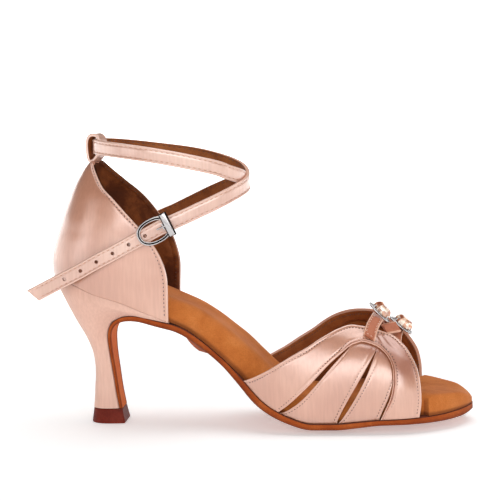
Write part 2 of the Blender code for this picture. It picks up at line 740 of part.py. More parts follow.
def make_vamp(name, side):
    """One half of the vamp: an arched band over two straps, one wall with a step."""
    label = "outer" if side < 0.0 else "inner"
    bm = bmesh.new()
    inner_face = bm.verts.layers.float_vector.new("inner_face")

    def put(vertex, place, inset, thickness):
        vertex.co = flank(place.x, place.y, side, inset)
        vertex[inner_face] = flank(place.x, place.y, side, inset + thickness)

    band = bmesh.ops.create_grid(bm, x_segments=2 * ARCH_END, y_segments=4, size=0.5)["verts"]
    for vertex in band:
        step = (vertex.co.x + 0.5) * ARCH_END
        rim = Vector((along(arch(label, step)), arch(label + "_up", step)))
        place = band_edge(step).lerp(rim, vertex.co.y + 0.5)
        put(vertex, place, 0.0, VAMP_WALL + BAND_STEP)

    rear_left = offset_edge(0.0, REAR_STRAP_TOP, REAR_SLIT_WIDTH, 1.0)
    front_right = offset_edge(float(ARCH_END), FRONT_STRAP_TOP, FRONT_SLIT_WIDTH, -1.0)
    spans = ((rear_left, middle_slit(-1.0), REAR_STRAP_TOP, MIDDLE_SLIT_TOP),
             (middle_slit(1.0), front_right, MIDDLE_SLIT_TOP, FRONT_STRAP_TOP))
    for left, right, first, last in spans:
        def bottom(u, left=left, right=right):
            return left(0.0).lerp(right(0.0), u)

        def top(u, first=first, last=last):
            return band_edge(first + (last - first) * u)

        patch = strap_patch(left, right, bottom, top)
        grid = bmesh.ops.create_grid(bm, x_segments=int(2 * (last - first)), y_segments=12,
                                     size=0.5)["verts"]
        for vertex in grid:
            u = vertex.co.x + 0.5
            row = round((vertex.co.y + 0.5) * 12)
            if row == 12:
                put(vertex, patch(u, 1.0), 0.0, VAMP_WALL + BAND_STEP)
            else:
                v = row / 11.0 * (1.0 - STEP_SLOPE)
                put(vertex, patch(u, v), BAND_STEP, VAMP_WALL)

    bmesh.ops.remove_doubles(bm, verts=bm.verts, dist=1e-5)
    return new_object(name, close_wall(bm, inner_face), "satin")


def close_wall(bm, inner_face):
    """Give an open surface its inner face and the rim between the two."""
    outside = list(bm.verts)
    faces = list(bm.faces)
    rim = [edge for edge in bm.edges if edge.is_boundary]
    twin = {vertex: bm.verts.new(vertex[inner_face]) for vertex in outside}
    for face in faces:
        bm.faces.new([twin[vertex] for vertex in reversed(face.verts)])
    for edge in rim:
        first, second = edge.verts
        bm.faces.new((first, second, twin[second], twin[first]))
    return bm


def crown_normal(x, y, inset):
    step = 0.001
    slope_x = (crown(x + step, y, inset) - crown(x - step, y, inset)) / (2.0 * step)
    slope_y = (crown(x, y + step, inset) - crown(x, y - step, inset)) / (2.0 * step)
    return Vector((-slope_x, -slope_y, 1.0)).normalized()


# Each bridge strap across the crest: place along the shoe, share of ball width across,
# and whether it lies over or under the vamp's wall there
BRIDGE_REAR = (
    (0.7555, -0.325, 1.0),
    (0.7625, -0.255, 1.0),
    (0.7690, -0.180, 1.0),
    (0.7715, -0.100, 0.35),
    (0.7720, -0.010, 0.10),
    (0.7720, 0.080, 0.05),
    (0.7710, 0.150, 0.0),
    (0.7690, 0.220, 0.0),
    (0.7670, 0.290, 0.0),
)
BRIDGE_FRONT = (
    (0.8170, -0.330, 0.0),
    (0.8205, -0.260, 0.0),
    (0.8240, -0.190, 0.0),
    (0.8265, -0.110, 0.0),
    (0.8280, -0.020, 0.3),
    (0.8290, 0.070, 0.2),
    (0.8280, 0.140, 0.0),
    (0.8260, 0.220, 0.0),
    (0.8240, 0.290, 0.0),
)


def bridge_spot(row):
    """Centre of a bridge strap and its outward way at one row of its table."""
    share, across, over = row
    x = along(share)
    y = across * BALL_WIDTH
    wall = VAMP_WALL + BAND_STEP
    half = BRIDGE_STRAP_THICKNESS / 2.0
    out = crown_normal(x, y, 0.0)
    surface = Vector((x, y, crown(x, y, 0.0)))
    above = FIT * 1.5 + half
    below = -(wall + FIT * 1.5 + half)
    return surface + out * (below + (above - below) * over), out


def make_bridge(name, table):
    spots = [bridge_spot(row) for row in table]
    path = smooth_path([spot for spot, out in spots], 3)
    faces = smooth_path([out for spot, out in spots], 3)
    rings = ribbon_rings(path, faces, BRIDGE_STRAP_WIDTH, BRIDGE_STRAP_THICKNESS)
    return loft(name, rings, "satin")


def oval(centre, long_way, wide_way, length, width, count, power=2.3):
    """Points round an oval; a higher power squares it up."""
    points = []
    for index in range(count):
        angle = 2.0 * math.pi * index / count
        c = math.cos(angle)
        s = math.sin(angle)
        a = math.copysign(abs(c) ** (2.0 / power), c) * length / 2.0
        b = math.copysign(abs(s) ** (2.0 / power), s) * width / 2.0
        points.append(centre + long_way * a + wide_way * b)
    return points


def jewel(name, table, row, tilt, lift):
    """A wire ring with a stone seat, and its cut stone, on a bridge strap."""
    spot, out = bridge_spot(table[row])
    long_way = Vector((math.cos(tilt), 0.0, -math.sin(tilt)))
    wide_way = (Vector((0.0, 1.0, 0.0)) + Vector((0.0, 0.0, 0.10))).normalized()
    up = long_way.cross(wide_way).normalized()
    wide_way = up.cross(long_way)
    base = spot + up * (BRIDGE_STRAP_THICKNESS / 2.0 + FIT + lift)
    centre = base + up * RING_WIRE / 2.0
    ring = wire("crystal_ring_" + name, oval(centre, long_way, wide_way, RING_LENGTH - RING_WIRE,
                                             RING_WIDTH - RING_WIRE, 24), RING_WIRE, "silver",
                closed=True, resolution=1)
    seat_rings = []
    for height in (RING_WIRE * 0.25, RING_WIRE * 0.25 + SEAT_THICKNESS):
        seat_rings.append(octagon(base + up * height, long_way, wide_way,
                                  CRYSTAL_LENGTH + 2.0 * FIT, CRYSTAL_WIDTH + 2.0 * FIT))
    seat = loft("seat_" + name, seat_rings, "silver")
    arm_points = [base + up * (RING_WIRE * 0.55) + long_way * (RING_LENGTH - RING_WIRE) / 2.0 * end
                  for end in (-1.0, 1.0)]
    arm = wire("arm_" + name, arm_points, RING_WIRE * 0.8, "silver", resolution=1)
    cut(ring, (as_cutter(seat), as_cutter(arm)), "UNION")
    foot = base + up * (RING_WIRE * 0.25 + SEAT_THICKNESS + FIT)
    levels = ((0.0, 0.86), (0.30, 1.0), (0.62, 1.0), (1.0, 0.66))
    stone = [octagon(foot + up * CRYSTAL_HEIGHT * level, long_way, wide_way,
                     CRYSTAL_LENGTH * size, CRYSTAL_WIDTH * size) for level, size in levels]
    loft("crystal_" + name, stone, "crystal").data.shade_flat()


def octagon(centre, long_way, wide_way, length, width):
    """An oblong with its corners cut off."""
    points = []
    for a, b in ((1.0, -0.5), (1.0, 0.5), (0.6, 1.0), (-0.6, 1.0), (-1.0, 0.5), (-1.0, -0.5),
                 (-0.6, -1.0), (0.6, -1.0)):
        points.append(centre + long_way * a * length / 2.0 + wide_way * b * width / 2.0)
    return points


def make_front_tab():
    """Folded-back end of the front bridge strap beside its ring."""
    spot, out = bridge_spot(BRIDGE_FRONT[3])
    lift = BRIDGE_STRAP_THICKNESS + 10.0 * FIT
    start = spot + out * lift + Vector((-0.0010, 0.0004, 0.0))
    end = start + Vector((-0.0070, -0.0050, -0.0004))
    out = Vector((0.10, -0.72, 0.69))
    path = [start.lerp(end, share) for share in (0.0, 0.35, 0.7, 1.0)]
    rings = ribbon_rings(path, [out] * len(path), BRIDGE_STRAP_WIDTH * 0.95,
                         BRIDGE_STRAP_THICKNESS)
    return loft("bridge_strap_tab", rings, "satin")


def ankle_points():
    points = []
    for share, across, up in ANKLE:
        points.append(Vector((along(share), across * SEAT_WIDTH, HEEL_HEIGHT + up * COUNTER_HEIGHT)))
    return points


def ankle_face(index, point):
    """The way a point of the ankle strap faces: out from the ankle, flat on the free end."""
    if index >= FREE_END_START:
        return Vector((0.0, -1.0, 0.0))
    centre = along(ANKLE_CENTRE)
    reach = ANKLE_REACH * SHOE_LENGTH
    half = SEAT_WIDTH / 2.0
    return Vector(((point.x - centre) / reach ** 2, point.y / half ** 2, 0.0)).normalized()


def make_ankle_strap():
    points = ankle_points()
    path = smooth_path(points, 2)
    faces = smooth_path([ankle_face(index, point) for index, point in enumerate(points)], 2)
    rings = ribbon_rings(path, faces, ANKLE_STRAP_WIDTH, ANKLE_STRAP_THICKNESS)
    strap = loft("ankle_strap", rings, "satin")
    holes = []
    for index in range(HOLE_COUNT):
        spot = free_end_spot(HOLE_OFFSET + HOLE_PITCH * index)
        bm = bmesh.new()
        bmesh.ops.create_cone(bm, cap_ends=True, segments=10, radius1=HOLE_DIAMETER / 2.0,
                              radius2=HOLE_DIAMETER / 2.0, depth=ANKLE_STRAP_THICKNESS * 3.0)
        hole = new_object("hole_%d" % index, bm, "satin")
        hole.rotation_euler = (math.pi / 2.0, 0.0, 0.0)
        hole.location = spot
        holes.append(as_cutter(hole))
    cut(strap, holes)
    return strap


def buckle_place():
    """Centre of the buckle on the strap's line and the way along the strap."""
    points = ankle_points()
    before = points[BUCKLE_ROW + 1]
    after = points[BUCKLE_ROW - 1]
    way = after - before
    way.y = 0.0
    way.normalize()
    return points[BUCKLE_ROW].lerp(before, BUCKLE_SHIFT), way


def free_end_spot(distance):
    """The centre line's point at a distance from the buckle towards the free end."""
    here, way = buckle_place()
    left = distance
    for point in ankle_points()[BUCKLE_ROW + 1:]:
        span = (point - here).length
        if left <= span:
            return here.lerp(point, left / span)
        left -= span
        here = point
    return here


def make_back_loop():
    """Closed keeper on top of the counter that the ankle strap runs through."""
    top = counter_point(0.0, 1.0)
    floor = top.z + FIT
    points = []
    centre = Vector((along(0.1105), 0.0, floor + LOOP_HEIGHT / 2.0))
    for point in oval(centre, Vector((1.0, 0.0, 0.0)), Vector((0.0, 0.0, 1.0)),
                      LOOP_DEPTH - LOOP_THICKNESS, LOOP_HEIGHT - LOOP_THICKNESS, 20, 2.6):
        points.append(point)
    bm = bmesh.new()
    rows = []
    for index, point in enumerate(points):
        out = (point - centre).normalized() * LOOP_THICKNESS / 2.0
        side = Vector((0.0, LOOP_WIDTH / 2.0, 0.0))
        rows.append([bm.verts.new(point + offset) for offset in
                     (out - side, out + side, -out + side, -out - side)])
    for index, row in enumerate(rows):
        after = rows[(index + 1) % len(rows)]
        for corner in range(4):
            beside = (corner + 1) % 4
            bm.faces.new((row[corner], row[beside], after[beside], after[corner]))
    return new_object("back_loop", bm, "satin")


def make_buckle():
    """Oval frame, cross bar and prong lying on the ankle strap."""
    place, way = buckle_place()
    across = Vector((-way.z, 0.0, way.x))
    out = Vector((0.0, -1.0, 0.0))
    surface = out * (ANKLE_STRAP_THICKNESS / 2.0 + 2.0 * FIT)
    centre = place + surface + out * BUCKLE_WIRE / 2.0
    points = oval(centre, way, across, BUCKLE_LENGTH - BUCKLE_WIRE, BUCKLE_HEIGHT - BUCKLE_WIRE, 28)
    wire("buckle_frame", points, BUCKLE_WIRE, "silver", closed=True)
    bar_centre = centre + way * (BUCKLE_LENGTH * 0.36) + out * (
        BUCKLE_WIRE / 2.0 + FIT + BAR_THICKNESS / 2.0)
    bm = bmesh.new()
    bmesh.ops.create_cube(bm, size=1.0)
    for vertex in bm.verts:
        vertex.co = (bar_centre + way * vertex.co.x * BAR_WIDTH
                     + across * vertex.co.y * BAR_LENGTH + out * vertex.co.z * BAR_THICKNESS)
    bar = new_object("buckle_bar", bm, "silver", smooth=False)
    rounding = bar.modifiers.new("rounding", "BEVEL")
    rounding.width = BAR_THICKNESS * 0.35
    rounding.segments = 2
    apply_modifiers(bar)
    root = bar_centre - way * (BAR_WIDTH / 2.0 + PRONG_DIAMETER / 2.0 + FIT)
    drop = ANKLE_STRAP_THICKNESS * 0.1
    prong = [root, root - way * 0.0014,
             root - way * 0.0028 - out * drop, root - way * 0.0040 - out * drop * 3.0]
    wire("buckle_prong", prong, PRONG_DIAMETER, "silver")


for leftover in list(bpy.data.objects):
    bpy.data.objects.remove(leftover)
shoe = bpy.data.collections.new("dance_shoe")
bpy.context.scene.collection.children.link(shoe)
cutters_collection = bpy.data.collections.new("cutters")
bpy.context.scene.collection.children.link(cutters_collection)

make_outsole()
make_insole()
make_heel()
make_heel_tip()
make_counter()
make_back_loop()
make_vamp("vamp_outer", OUTER)
make_vamp("vamp_inner", INNER)
make_bridge("bridge_strap_rear", BRIDGE_REAR)
make_bridge("bridge_strap_front", BRIDGE_FRONT)
make_front_tab()
jewel("rear", BRIDGE_REAR, 3, math.radians(46.0), 0.0024)
jewel("front", BRIDGE_FRONT, 4, math.radians(39.0), 0.0013)
make_ankle_strap()
make_buckle()
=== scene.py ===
import math

import bpy
from mathutils import Matrix, Vector, noise


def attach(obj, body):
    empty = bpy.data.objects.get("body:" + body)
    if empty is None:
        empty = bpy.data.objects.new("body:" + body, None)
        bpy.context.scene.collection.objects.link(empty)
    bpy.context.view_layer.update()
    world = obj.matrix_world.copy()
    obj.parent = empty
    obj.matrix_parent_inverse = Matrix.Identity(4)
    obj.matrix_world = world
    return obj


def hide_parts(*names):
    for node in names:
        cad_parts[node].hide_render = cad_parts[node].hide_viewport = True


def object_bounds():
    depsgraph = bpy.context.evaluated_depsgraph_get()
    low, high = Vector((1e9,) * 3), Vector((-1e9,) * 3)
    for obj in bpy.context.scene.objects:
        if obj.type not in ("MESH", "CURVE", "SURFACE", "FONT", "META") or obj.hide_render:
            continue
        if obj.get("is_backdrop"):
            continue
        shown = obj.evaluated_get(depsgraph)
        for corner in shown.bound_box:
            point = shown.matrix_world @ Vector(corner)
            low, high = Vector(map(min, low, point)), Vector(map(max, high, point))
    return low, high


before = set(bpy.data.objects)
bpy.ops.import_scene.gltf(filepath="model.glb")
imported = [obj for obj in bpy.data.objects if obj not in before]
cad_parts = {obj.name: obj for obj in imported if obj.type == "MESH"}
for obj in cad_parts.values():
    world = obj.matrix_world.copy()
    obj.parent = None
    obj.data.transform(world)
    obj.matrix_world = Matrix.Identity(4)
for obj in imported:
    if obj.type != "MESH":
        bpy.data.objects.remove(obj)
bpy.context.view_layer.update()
bpy.ops.object.select_all(action="DESELECT")

last = {"length": 0.226, "setback": 0.029, "ballWidth": 0.080, "seatWidth": 0.0548,
        "heelHeight": 0.081, "crestHeight": 0.0565, "crestShift": 0.004,
        "counterHeight": 0.062, "fit": 0.0003, "widest": 0.14, "roundness": 2.2,
        "heelRound": 0.181, "heelPower": 2.3, "toeRound": 0.177, "toePower": 1.62}

# the last along its length, as shares of its own sizes, the same line the solids follow
soleLine = {"columns": ("along", "height", "outer", "inner", "sheet", "camber", "bed", "crest"), "rows": (
    (0.000, 1.000, 0.3425, 0.3425, 0.70, 0.00, 0.72, 1.30),
    (0.030, 0.990, 0.3425, 0.3425, 0.70, 0.00, 0.74, 1.30),
    (0.060, 0.964, 0.3425, 0.3425, 0.70, 0.00, 0.76, 1.30),
    (0.110, 0.903, 0.3425, 0.3425, 0.70, 0.00, 0.78, 1.30),
    (0.173, 0.850, 0.3425, 0.3425, 0.70, 0.00, 0.80, 1.30),
    (0.238, 0.773, 0.3320, 0.3320, 0.80, 0.00, 0.84, 1.28),
    (0.291, 0.707, 0.3090, 0.3090, 0.90, 0.00, 0.88, 1.25),
    (0.310, 0.682, 0.3000, 0.2990, 0.92, 0.05, 0.90, 1.23),
    (0.328, 0.655, 0.2930, 0.2900, 0.95, 0.45, 0.92, 1.22),
    (0.349, 0.616, 0.2888, 0.2832, 0.92, 1.45, 0.93, 1.21),
    (0.370, 0.571, 0.2880, 0.2760, 0.90, 1.75, 0.95, 1.20),
    (0.393, 0.517, 0.2920, 0.2700, 0.88, 0.45, 0.96, 1.18),
    (0.424, 0.443, 0.3150, 0.2700, 0.90, 0.00, 0.98, 1.16),
    (0.463, 0.333, 0.3620, 0.2820, 1.00, 0.00, 1.02, 1.15),
    (0.500, 0.226, 0.4120, 0.3120, 1.10, 0.00, 1.02, 1.21),
    (0.530, 0.168, 0.4500, 0.3480, 1.10, 0.25, 0.97, 1.21),
    (0.575, 0.107, 0.4720, 0.4060, 1.04, 0.80, 0.86, 1.20),
    (0.624, 0.0716, 0.4810, 0.4620, 1.00, 1.03, 0.76, 1.15),
    (0.677, 0.0716, 0.4825, 0.4970, 1.00, 1.03, 0.72, 1.08),
    (0.726, 0.0820, 0.4780, 0.5130, 0.95, 0.90, 0.71, 1.00),
    (0.774, 0.0926, 0.4700, 0.5190, 0.88, 0.80, 0.71, 0.925),
    (0.805, 0.0950, 0.4640, 0.5190, 0.88, 0.70, 0.73, 0.845),
    (0.850, 0.0985, 0.4560, 0.5190, 0.94, 0.55, 0.78, 0.735),
    (0.885, 0.1010, 0.4500, 0.5190, 1.02, 0.40, 0.80, 0.630),
    (0.930, 0.1060, 0.4500, 0.5190, 1.10, 0.30, 0.71, 0.480),
    (0.970, 0.1140, 0.4500, 0.5190, 1.12, 0.15, 0.60, 0.320),
    (1.000, 0.1190, 0.4500, 0.5190, 0.86, 0.00, 0.50, 0.200))}

breastLine = {"columns": ("step", "along", "height", "half", "sheet"), "rows": (
    (0, 0.3020, 0.6890, 0.430, 0.98), (1, 0.2790, 0.7030, 0.410, 0.94),
    (2, 0.2520, 0.7180, 0.385, 0.90), (3, 0.2255, 0.7340, 0.355, 0.86),
    (4, 0.2030, 0.7405, 0.325, 0.82), (5, 0.1810, 0.7370, 0.295, 0.78),
    (6, 0.1620, 0.7210, 0.268, 0.70), (7, 0.1470, 0.6930, 0.246, 0.60),
    (8, 0.1375, 0.6540, 0.224, 0.54), (9, 0.1330, 0.6050, 0.200, 0.49),
    (10, 0.1328, 0.5400, 0.178, 0.47), (11, 0.1358, 0.4500, 0.156, 0.45),
    (12, 0.1407, 0.3450, 0.142, 0.45), (13, 0.1465, 0.2150, 0.137, 0.45),
    (14, 0.1535, 0.1000, 0.142, 0.45))}

heelLine = {"columns": ("step", "back", "backUp", "front", "frontUp", "half", "breast"), "rows": (
    (0, 0.0858, 0.1000, 0.1535, 0.1000, 0.152, 0.144), (1, 0.0890, 0.2000, 0.1472, 0.2050, 0.145, 0.138),
    (2, 0.0925, 0.3250, 0.1410, 0.3400, 0.148, 0.142), (3, 0.0915, 0.4200, 0.1360, 0.4450, 0.166, 0.156),
    (4, 0.0850, 0.5080, 0.1328, 0.5360, 0.193, 0.177), (5, 0.0720, 0.5950, 0.1330, 0.6030, 0.232, 0.201),
    (6, 0.0540, 0.6890, 0.1390, 0.6620, 0.288, 0.229), (7, 0.0370, 0.7830, 0.1510, 0.7030, 0.348, 0.254),
    (8, 0.0230, 0.8640, 0.1770, 0.7350, 0.405, 0.293), (9, 0.0120, 0.9300, 0.2070, 0.7400, 0.452, 0.332),
    (10, 0.0045, 0.9780, 0.2500, 0.7195, 0.484, 0.384), (11, 0.0000, 1.0000, 0.2905, 0.7020, 0.500, 0.448))}

counterLine = {"columns": ("up", "back", "backUp", "outer", "outerUp", "inner", "innerUp", "girth"), "rows": (
    (0.0, 0.0000, 0.000, 0.2890, -0.380, 0.2890, -0.380, 1.000),
    (0.1, -0.0018, 0.110, 0.2890, -0.175, 0.2900, -0.175, 1.005),
    (0.2, 0.0008, 0.215, 0.2870, 0.040, 0.2920, 0.040, 1.010),
    (0.3, 0.0090, 0.325, 0.2700, 0.225, 0.2810, 0.235, 1.010),
    (0.4, 0.0190, 0.430, 0.2480, 0.350, 0.2640, 0.370, 1.000),
    (0.5, 0.0290, 0.535, 0.2220, 0.465, 0.2420, 0.495, 0.980),
    (0.6, 0.0405, 0.640, 0.1930, 0.580, 0.2160, 0.620, 0.945),
    (0.7, 0.0530, 0.745, 0.1650, 0.690, 0.1920, 0.715, 0.900),
    (0.8, 0.0675, 0.848, 0.1395, 0.780, 0.1680, 0.795, 0.840),
    (0.9, 0.0825, 0.940, 0.1215, 0.880, 0.1390, 0.895, 0.770),
    (1.0, 0.0965, 1.000, 0.1060, 0.985, 0.1120, 0.998, 0.690))}

archLine = {"columns": ("step", "outer", "outerUp", "inner", "innerUp", "edge", "edgeUp"), "rows": (
    (0, 0.4640, 0.000, 0.4640, 0.000, 0.5460, 0.000), (1, 0.5055, 0.206, 0.5050, 0.202, 0.5755, 0.120),
    (2, 0.5500, 0.384, 0.5500, 0.368, 0.6075, 0.262), (3, 0.5930, 0.534, 0.5930, 0.524, 0.6375, 0.385),
    (4, 0.6265, 0.640, 0.6265, 0.638, 0.6660, 0.505), (5, 0.6570, 0.724, 0.6570, 0.738, 0.6900, 0.598),
    (6, 0.6860, 0.800, 0.6860, 0.820, 0.7120, 0.675), (7, 0.7125, 0.850, 0.7125, 0.876, 0.7285, 0.712),
    (8, 0.7410, 0.864, 0.7410, 0.918, 0.7430, 0.730), (9, 0.7790, 0.868, 0.7790, 0.948, 0.7650, 0.722),
    (10, 0.8110, 0.890, 0.8130, 0.930, 0.7850, 0.700), (11, 0.8320, 0.860, 0.8360, 0.890, 0.7995, 0.655),
    (12, 0.8500, 0.790, 0.8550, 0.815, 0.8080, 0.580), (13, 0.8665, 0.642, 0.8740, 0.680, 0.8100, 0.480),
    (14, 0.8730, 0.452, 0.8830, 0.480, 0.8090, 0.370), (15, 0.8750, 0.227, 0.8850, 0.240, 0.8020, 0.220),
    (16, 0.8700, 0.000, 0.8780, 0.000, 0.7810, 0.000))}

anklePath = (
    (0.201, 0.536, 0.385), (0.243, 0.532, 0.464), (0.279, 0.515, 0.518), (0.318, 0.474, 0.585),
    (0.371, 0.365, 0.676), (0.419, 0.219, 0.752), (0.452, 0.073, 0.798), (0.4645, -0.055, 0.821),
    (0.4585, -0.182, 0.853), (0.433, -0.310, 0.895), (0.405, -0.383, 0.939), (0.331, -0.474, 1.006),
    (0.258, -0.493, 1.058), (0.196, -0.420, 1.090), (0.151, -0.292, 1.108), (0.1185, -0.146, 1.121),
    (0.1060, 0.000, 1.124), (0.1070, 0.128, 1.127), (0.1240, 0.274, 1.126), (0.163, 0.401, 1.111),
    (0.221, 0.493, 1.082), (0.328, 0.493, 1.026), (0.397, 0.383, 0.968), (0.442, 0.255, 0.913),
    (0.4650, 0.110, 0.862), (0.4740, -0.036, 0.812), (0.4705, -0.164, 0.775), (0.4570, -0.274, 0.742),
    (0.4367, -0.365, 0.703), (0.404, -0.438, 0.645), (0.368, -0.484, 0.587), (0.334, -0.511, 0.532),
    (0.311, -0.526, 0.497), (0.278, -0.540, 0.445), (0.240, -0.545, 0.374), (0.203, -0.546, 0.305),
    (0.162, -0.546, 0.227), (0.123, -0.546, 0.156), (0.084, -0.542, 0.079), (0.043, -0.534, 0.006),
    (0.004, -0.524, -0.066), (-0.0265, -0.508, -0.122))

bridgePaths = {
    "rear": ((0.7555, -0.333, 1.0), (0.7640, -0.255, 1.0), (0.7730, -0.180, 1.0), (0.7790, -0.100, 0.35),
             (0.7830, -0.010, 0.10), (0.7860, 0.080, 0.05), (0.7870, 0.150, 0.0), (0.7870, 0.220, 0.0),
             (0.7860, 0.290, 0.0)),
    "front": ((0.8170, -0.330, 0.0), (0.8205, -0.260, 0.0), (0.8240, -0.190, 0.0), (0.8265, -0.110, 0.0),
              (0.8280, -0.020, 0.3), (0.8285, 0.070, 0.2), (0.8255, 0.140, 0.0), (0.8205, 0.220, 0.0),
              (0.8160, 0.290, 0.0), (0.8130, 0.340, 0.0))}

tableSteps = 1600
columnSamples = {}


def sampleColumn(table, column):
    # smooth values between the rows, without overshoot
    rows = table["rows"]
    end = len(rows) - 1

    def slope(index):
        before = rows[max(index - 1, 0)]
        after = rows[min(index + 1, end)]
        left = rows[index][column] - before[column]
        right = after[column] - rows[index][column]
        return 0.0 if left * right <= 0.0 else (left + right) / (after[0] - before[0])

    values = []
    row = 0
    for index in range(tableSteps + 1):
        at = rows[0][0] + (rows[-1][0] - rows[0][0]) * index / tableSteps
        while row < end - 1 and rows[row + 1][0] <= at:
            row += 1
        span = rows[row + 1][0] - rows[row][0]
        share = min(max((at - rows[row][0]) / span, 0.0), 1.0)
        rise = rows[row + 1][column] - rows[row][column]
        first = slope(row) * span
        second = slope(row + 1) * span
        bend = (3.0 * rise - 2.0 * first - second) * share ** 2
        values.append(rows[row][column] + first * share + bend + (first + second - 2.0 * rise) * share ** 3)
    return values


def readTable(table, name, at):
    column = table["columns"].index(name)
    key = (id(table), column)
    if key not in columnSamples:
        columnSamples[key] = sampleColumn(table, column)
    values = columnSamples[key]
    rows = table["rows"]
    place = min(max((at - rows[0][0]) / (rows[-1][0] - rows[0][0]), 0.0), 1.0) * tableSteps
    index = min(int(place), tableSteps - 1)
    return values[index] + (values[index + 1] - values[index]) * (place - index)


def along(share):
    return share * last["length"] - last["setback"]


def shareAlong(x):
    return (x + last["setback"]) / last["length"]


def soleAt(name, x):
    return readTable(soleLine, name, shareAlong(x))


def feather(x):
    # height of the line where the upper meets the sole
    return soleAt("height", x) * last["heelHeight"]


def roundEnd(share, power):
    return (1.0 - min(max(1.0 - share, 0.0), 1.0) ** power) ** (1.0 / power)


def outlineHalf(x, side, inset=0.0):
    # half the sole's width on one side, rounded off at both ends
    share = shareAlong(x)
    drawn = inset / last["length"]
    heel = roundEnd((share - drawn) / last["heelRound"], last["heelPower"])
    toe = roundEnd((1.0 - share - drawn) / last["toeRound"], last["toePower"])
    return (soleAt("outer" if side < 0.0 else "inner", x) * last["ballWidth"] - inset) * heel * toe


def seatHalf(x, back, girth):
    # half the width of the heel's seat, from the same outline
    return girth * outlineHalf(x - back - last["setback"], -1.0) * last["seatWidth"] / (
        2.0 * last["ballWidth"] * soleLine["rows"][0][2])


def smoothStep(low, high, value):
    t = min(max((value - low) / (high - low), 0.0), 1.0)
    return t * t * (3.0 - 2.0 * t)


def bump(distance, centre, width):
    return math.exp(-((distance - centre) / width) ** 2)


def rollOff(distance, radius):
    # how far a rounded edge falls away near its end
    t = min(max(1.0 - distance / radius, 0.0), 1.0)
    return radius * (1.0 - math.sqrt(1.0 - t * t * 0.98))


def smoothPath(points, perSpan):
    # a smooth line through all the points
    path = []
    end = len(points) - 1
    for index in range(end):
        before = points[max(index - 1, 0)]
        here = points[index]
        there = points[index + 1]
        after = points[min(index + 2, end)]
        for step in range(perSpan):
            t = step / perSpan
            path.append(0.5 * (2.0 * here + (there - before) * t
                               + (2.0 * before - 5.0 * here + 4.0 * there - after) * t ** 2
                               + (3.0 * here - before - 3.0 * there + after) * t ** 3))
    path.append(points[end].copy())
    return path


def spreadOut(points, lengths, wanted):
    # values at the wanted distances along a line of points
    found = []
    index = 0
    for distance in wanted:
        while index < len(lengths) - 2 and lengths[index + 1] < distance:
            index += 1
        share = (distance - lengths[index]) / max(lengths[index + 1] - lengths[index], 1e-9)
        found.append(points[index] + (points[index + 1] - points[index]) * share)
    return found


def runLengths(points):
    lengths = [0.0]
    for before, after in zip(points, points[1:]):
        lengths.append(lengths[-1] + (after - before).length)
    return lengths


# making and finishing meshes

def pickOnly(piece):
    bpy.ops.object.select_all(action="DESELECT")
    piece.select_set(True)
    bpy.context.view_layer.objects.active = piece


def startEdit(piece):
    pickOnly(piece)
    bpy.ops.object.mode_set(mode="EDIT")
    bpy.ops.mesh.select_all(action="SELECT")


def endEdit():
    bpy.ops.mesh.select_all(action="DESELECT")
    bpy.ops.object.mode_set(mode="OBJECT")


def addSheet(name, columns, rows, placeAt):
    # a grid laid out point by point on the form, placeAt gives (point, edge tint) and may add a painted shade
    bpy.ops.object.select_all(action="DESELECT")
    bpy.ops.mesh.primitive_grid_add(x_subdivisions=columns, y_subdivisions=rows, size=1.0)
    piece = bpy.context.object
    piece.name = name
    piece.data.name = name
    piece.data.attributes.new("edgeTint", "FLOAT", "POINT")
    piece.data.attributes.new("shade", "FLOAT", "POINT")
    for vertex in piece.data.vertices:
        column = round((vertex.co.x + 0.5) * columns)
        row = round((vertex.co.y + 0.5) * rows)
        point, value, *shade = placeAt(column, row)
        vertex.co = point
        piece.data.attributes["edgeTint"].data[vertex.index].value = value
        piece.data.attributes["shade"].data[vertex.index].value = shade[0] if shade else 0.0
    return piece


def applyAll(piece):
    pickOnly(piece)
    for modifier in list(piece.modifiers):
        bpy.ops.object.modifier_apply(modifier=modifier.name)


def shadeSmooth(piece, angle=40.0):
    pickOnly(piece)
    bpy.ops.object.shade_smooth_by_angle(angle=math.radians(angle))


def ringLoft(name, rings, laneSlots=None, laneTints=None, ringClosed=False, angle=40.0):
    # a grid wrapped round the rings, its seam merged and its open ends filled
    lanes = len(rings[0])
    rows = len(rings) if ringClosed else len(rings) - 1
    edgeTints = laneTints or [0.0] * lanes
    piece = addSheet(name, lanes, rows, lambda i, j: (rings[j % len(rings)][i % lanes], edgeTints[i % lanes]))
    if laneSlots:
        for polygon in piece.data.polygons:
            polygon.material_index = laneSlots[polygon.index % lanes]
    startEdit(piece)
    bpy.ops.mesh.remove_doubles(threshold=1e-6)
    if not ringClosed:
        bpy.ops.mesh.fill_holes(sides=0)
        bpy.ops.mesh.select_all(action="SELECT")
    bpy.ops.mesh.normals_make_consistent(inside=False)
    endEdit()
    shadeSmooth(piece, angle)
    return piece


def tubeAlong(name, points, diameter, closed=False, resolution=3):
    curve = bpy.data.curves.new(name, "CURVE")
    curve.dimensions = "3D"
    curve.bevel_depth = diameter / 2.0
    curve.bevel_resolution = resolution
    curve.use_fill_caps = True
    spline = curve.splines.new("POLY")
    spline.points.add(len(points) - 1)
    for target, point in zip(spline.points, points):
        target.co = (*point, 1.0)
    spline.use_cyclic_u = closed
    piece = bpy.data.objects.new(name, curve)
    bpy.context.scene.collection.objects.link(piece)
    pickOnly(piece)
    bpy.ops.object.convert(target="MESH")
    piece = bpy.context.object
    startEdit(piece)
    bpy.ops.mesh.remove_doubles(threshold=1e-6)
    bpy.ops.mesh.normals_make_consistent(inside=False)
    endEdit()
    shadeSmooth(piece)
    return piece


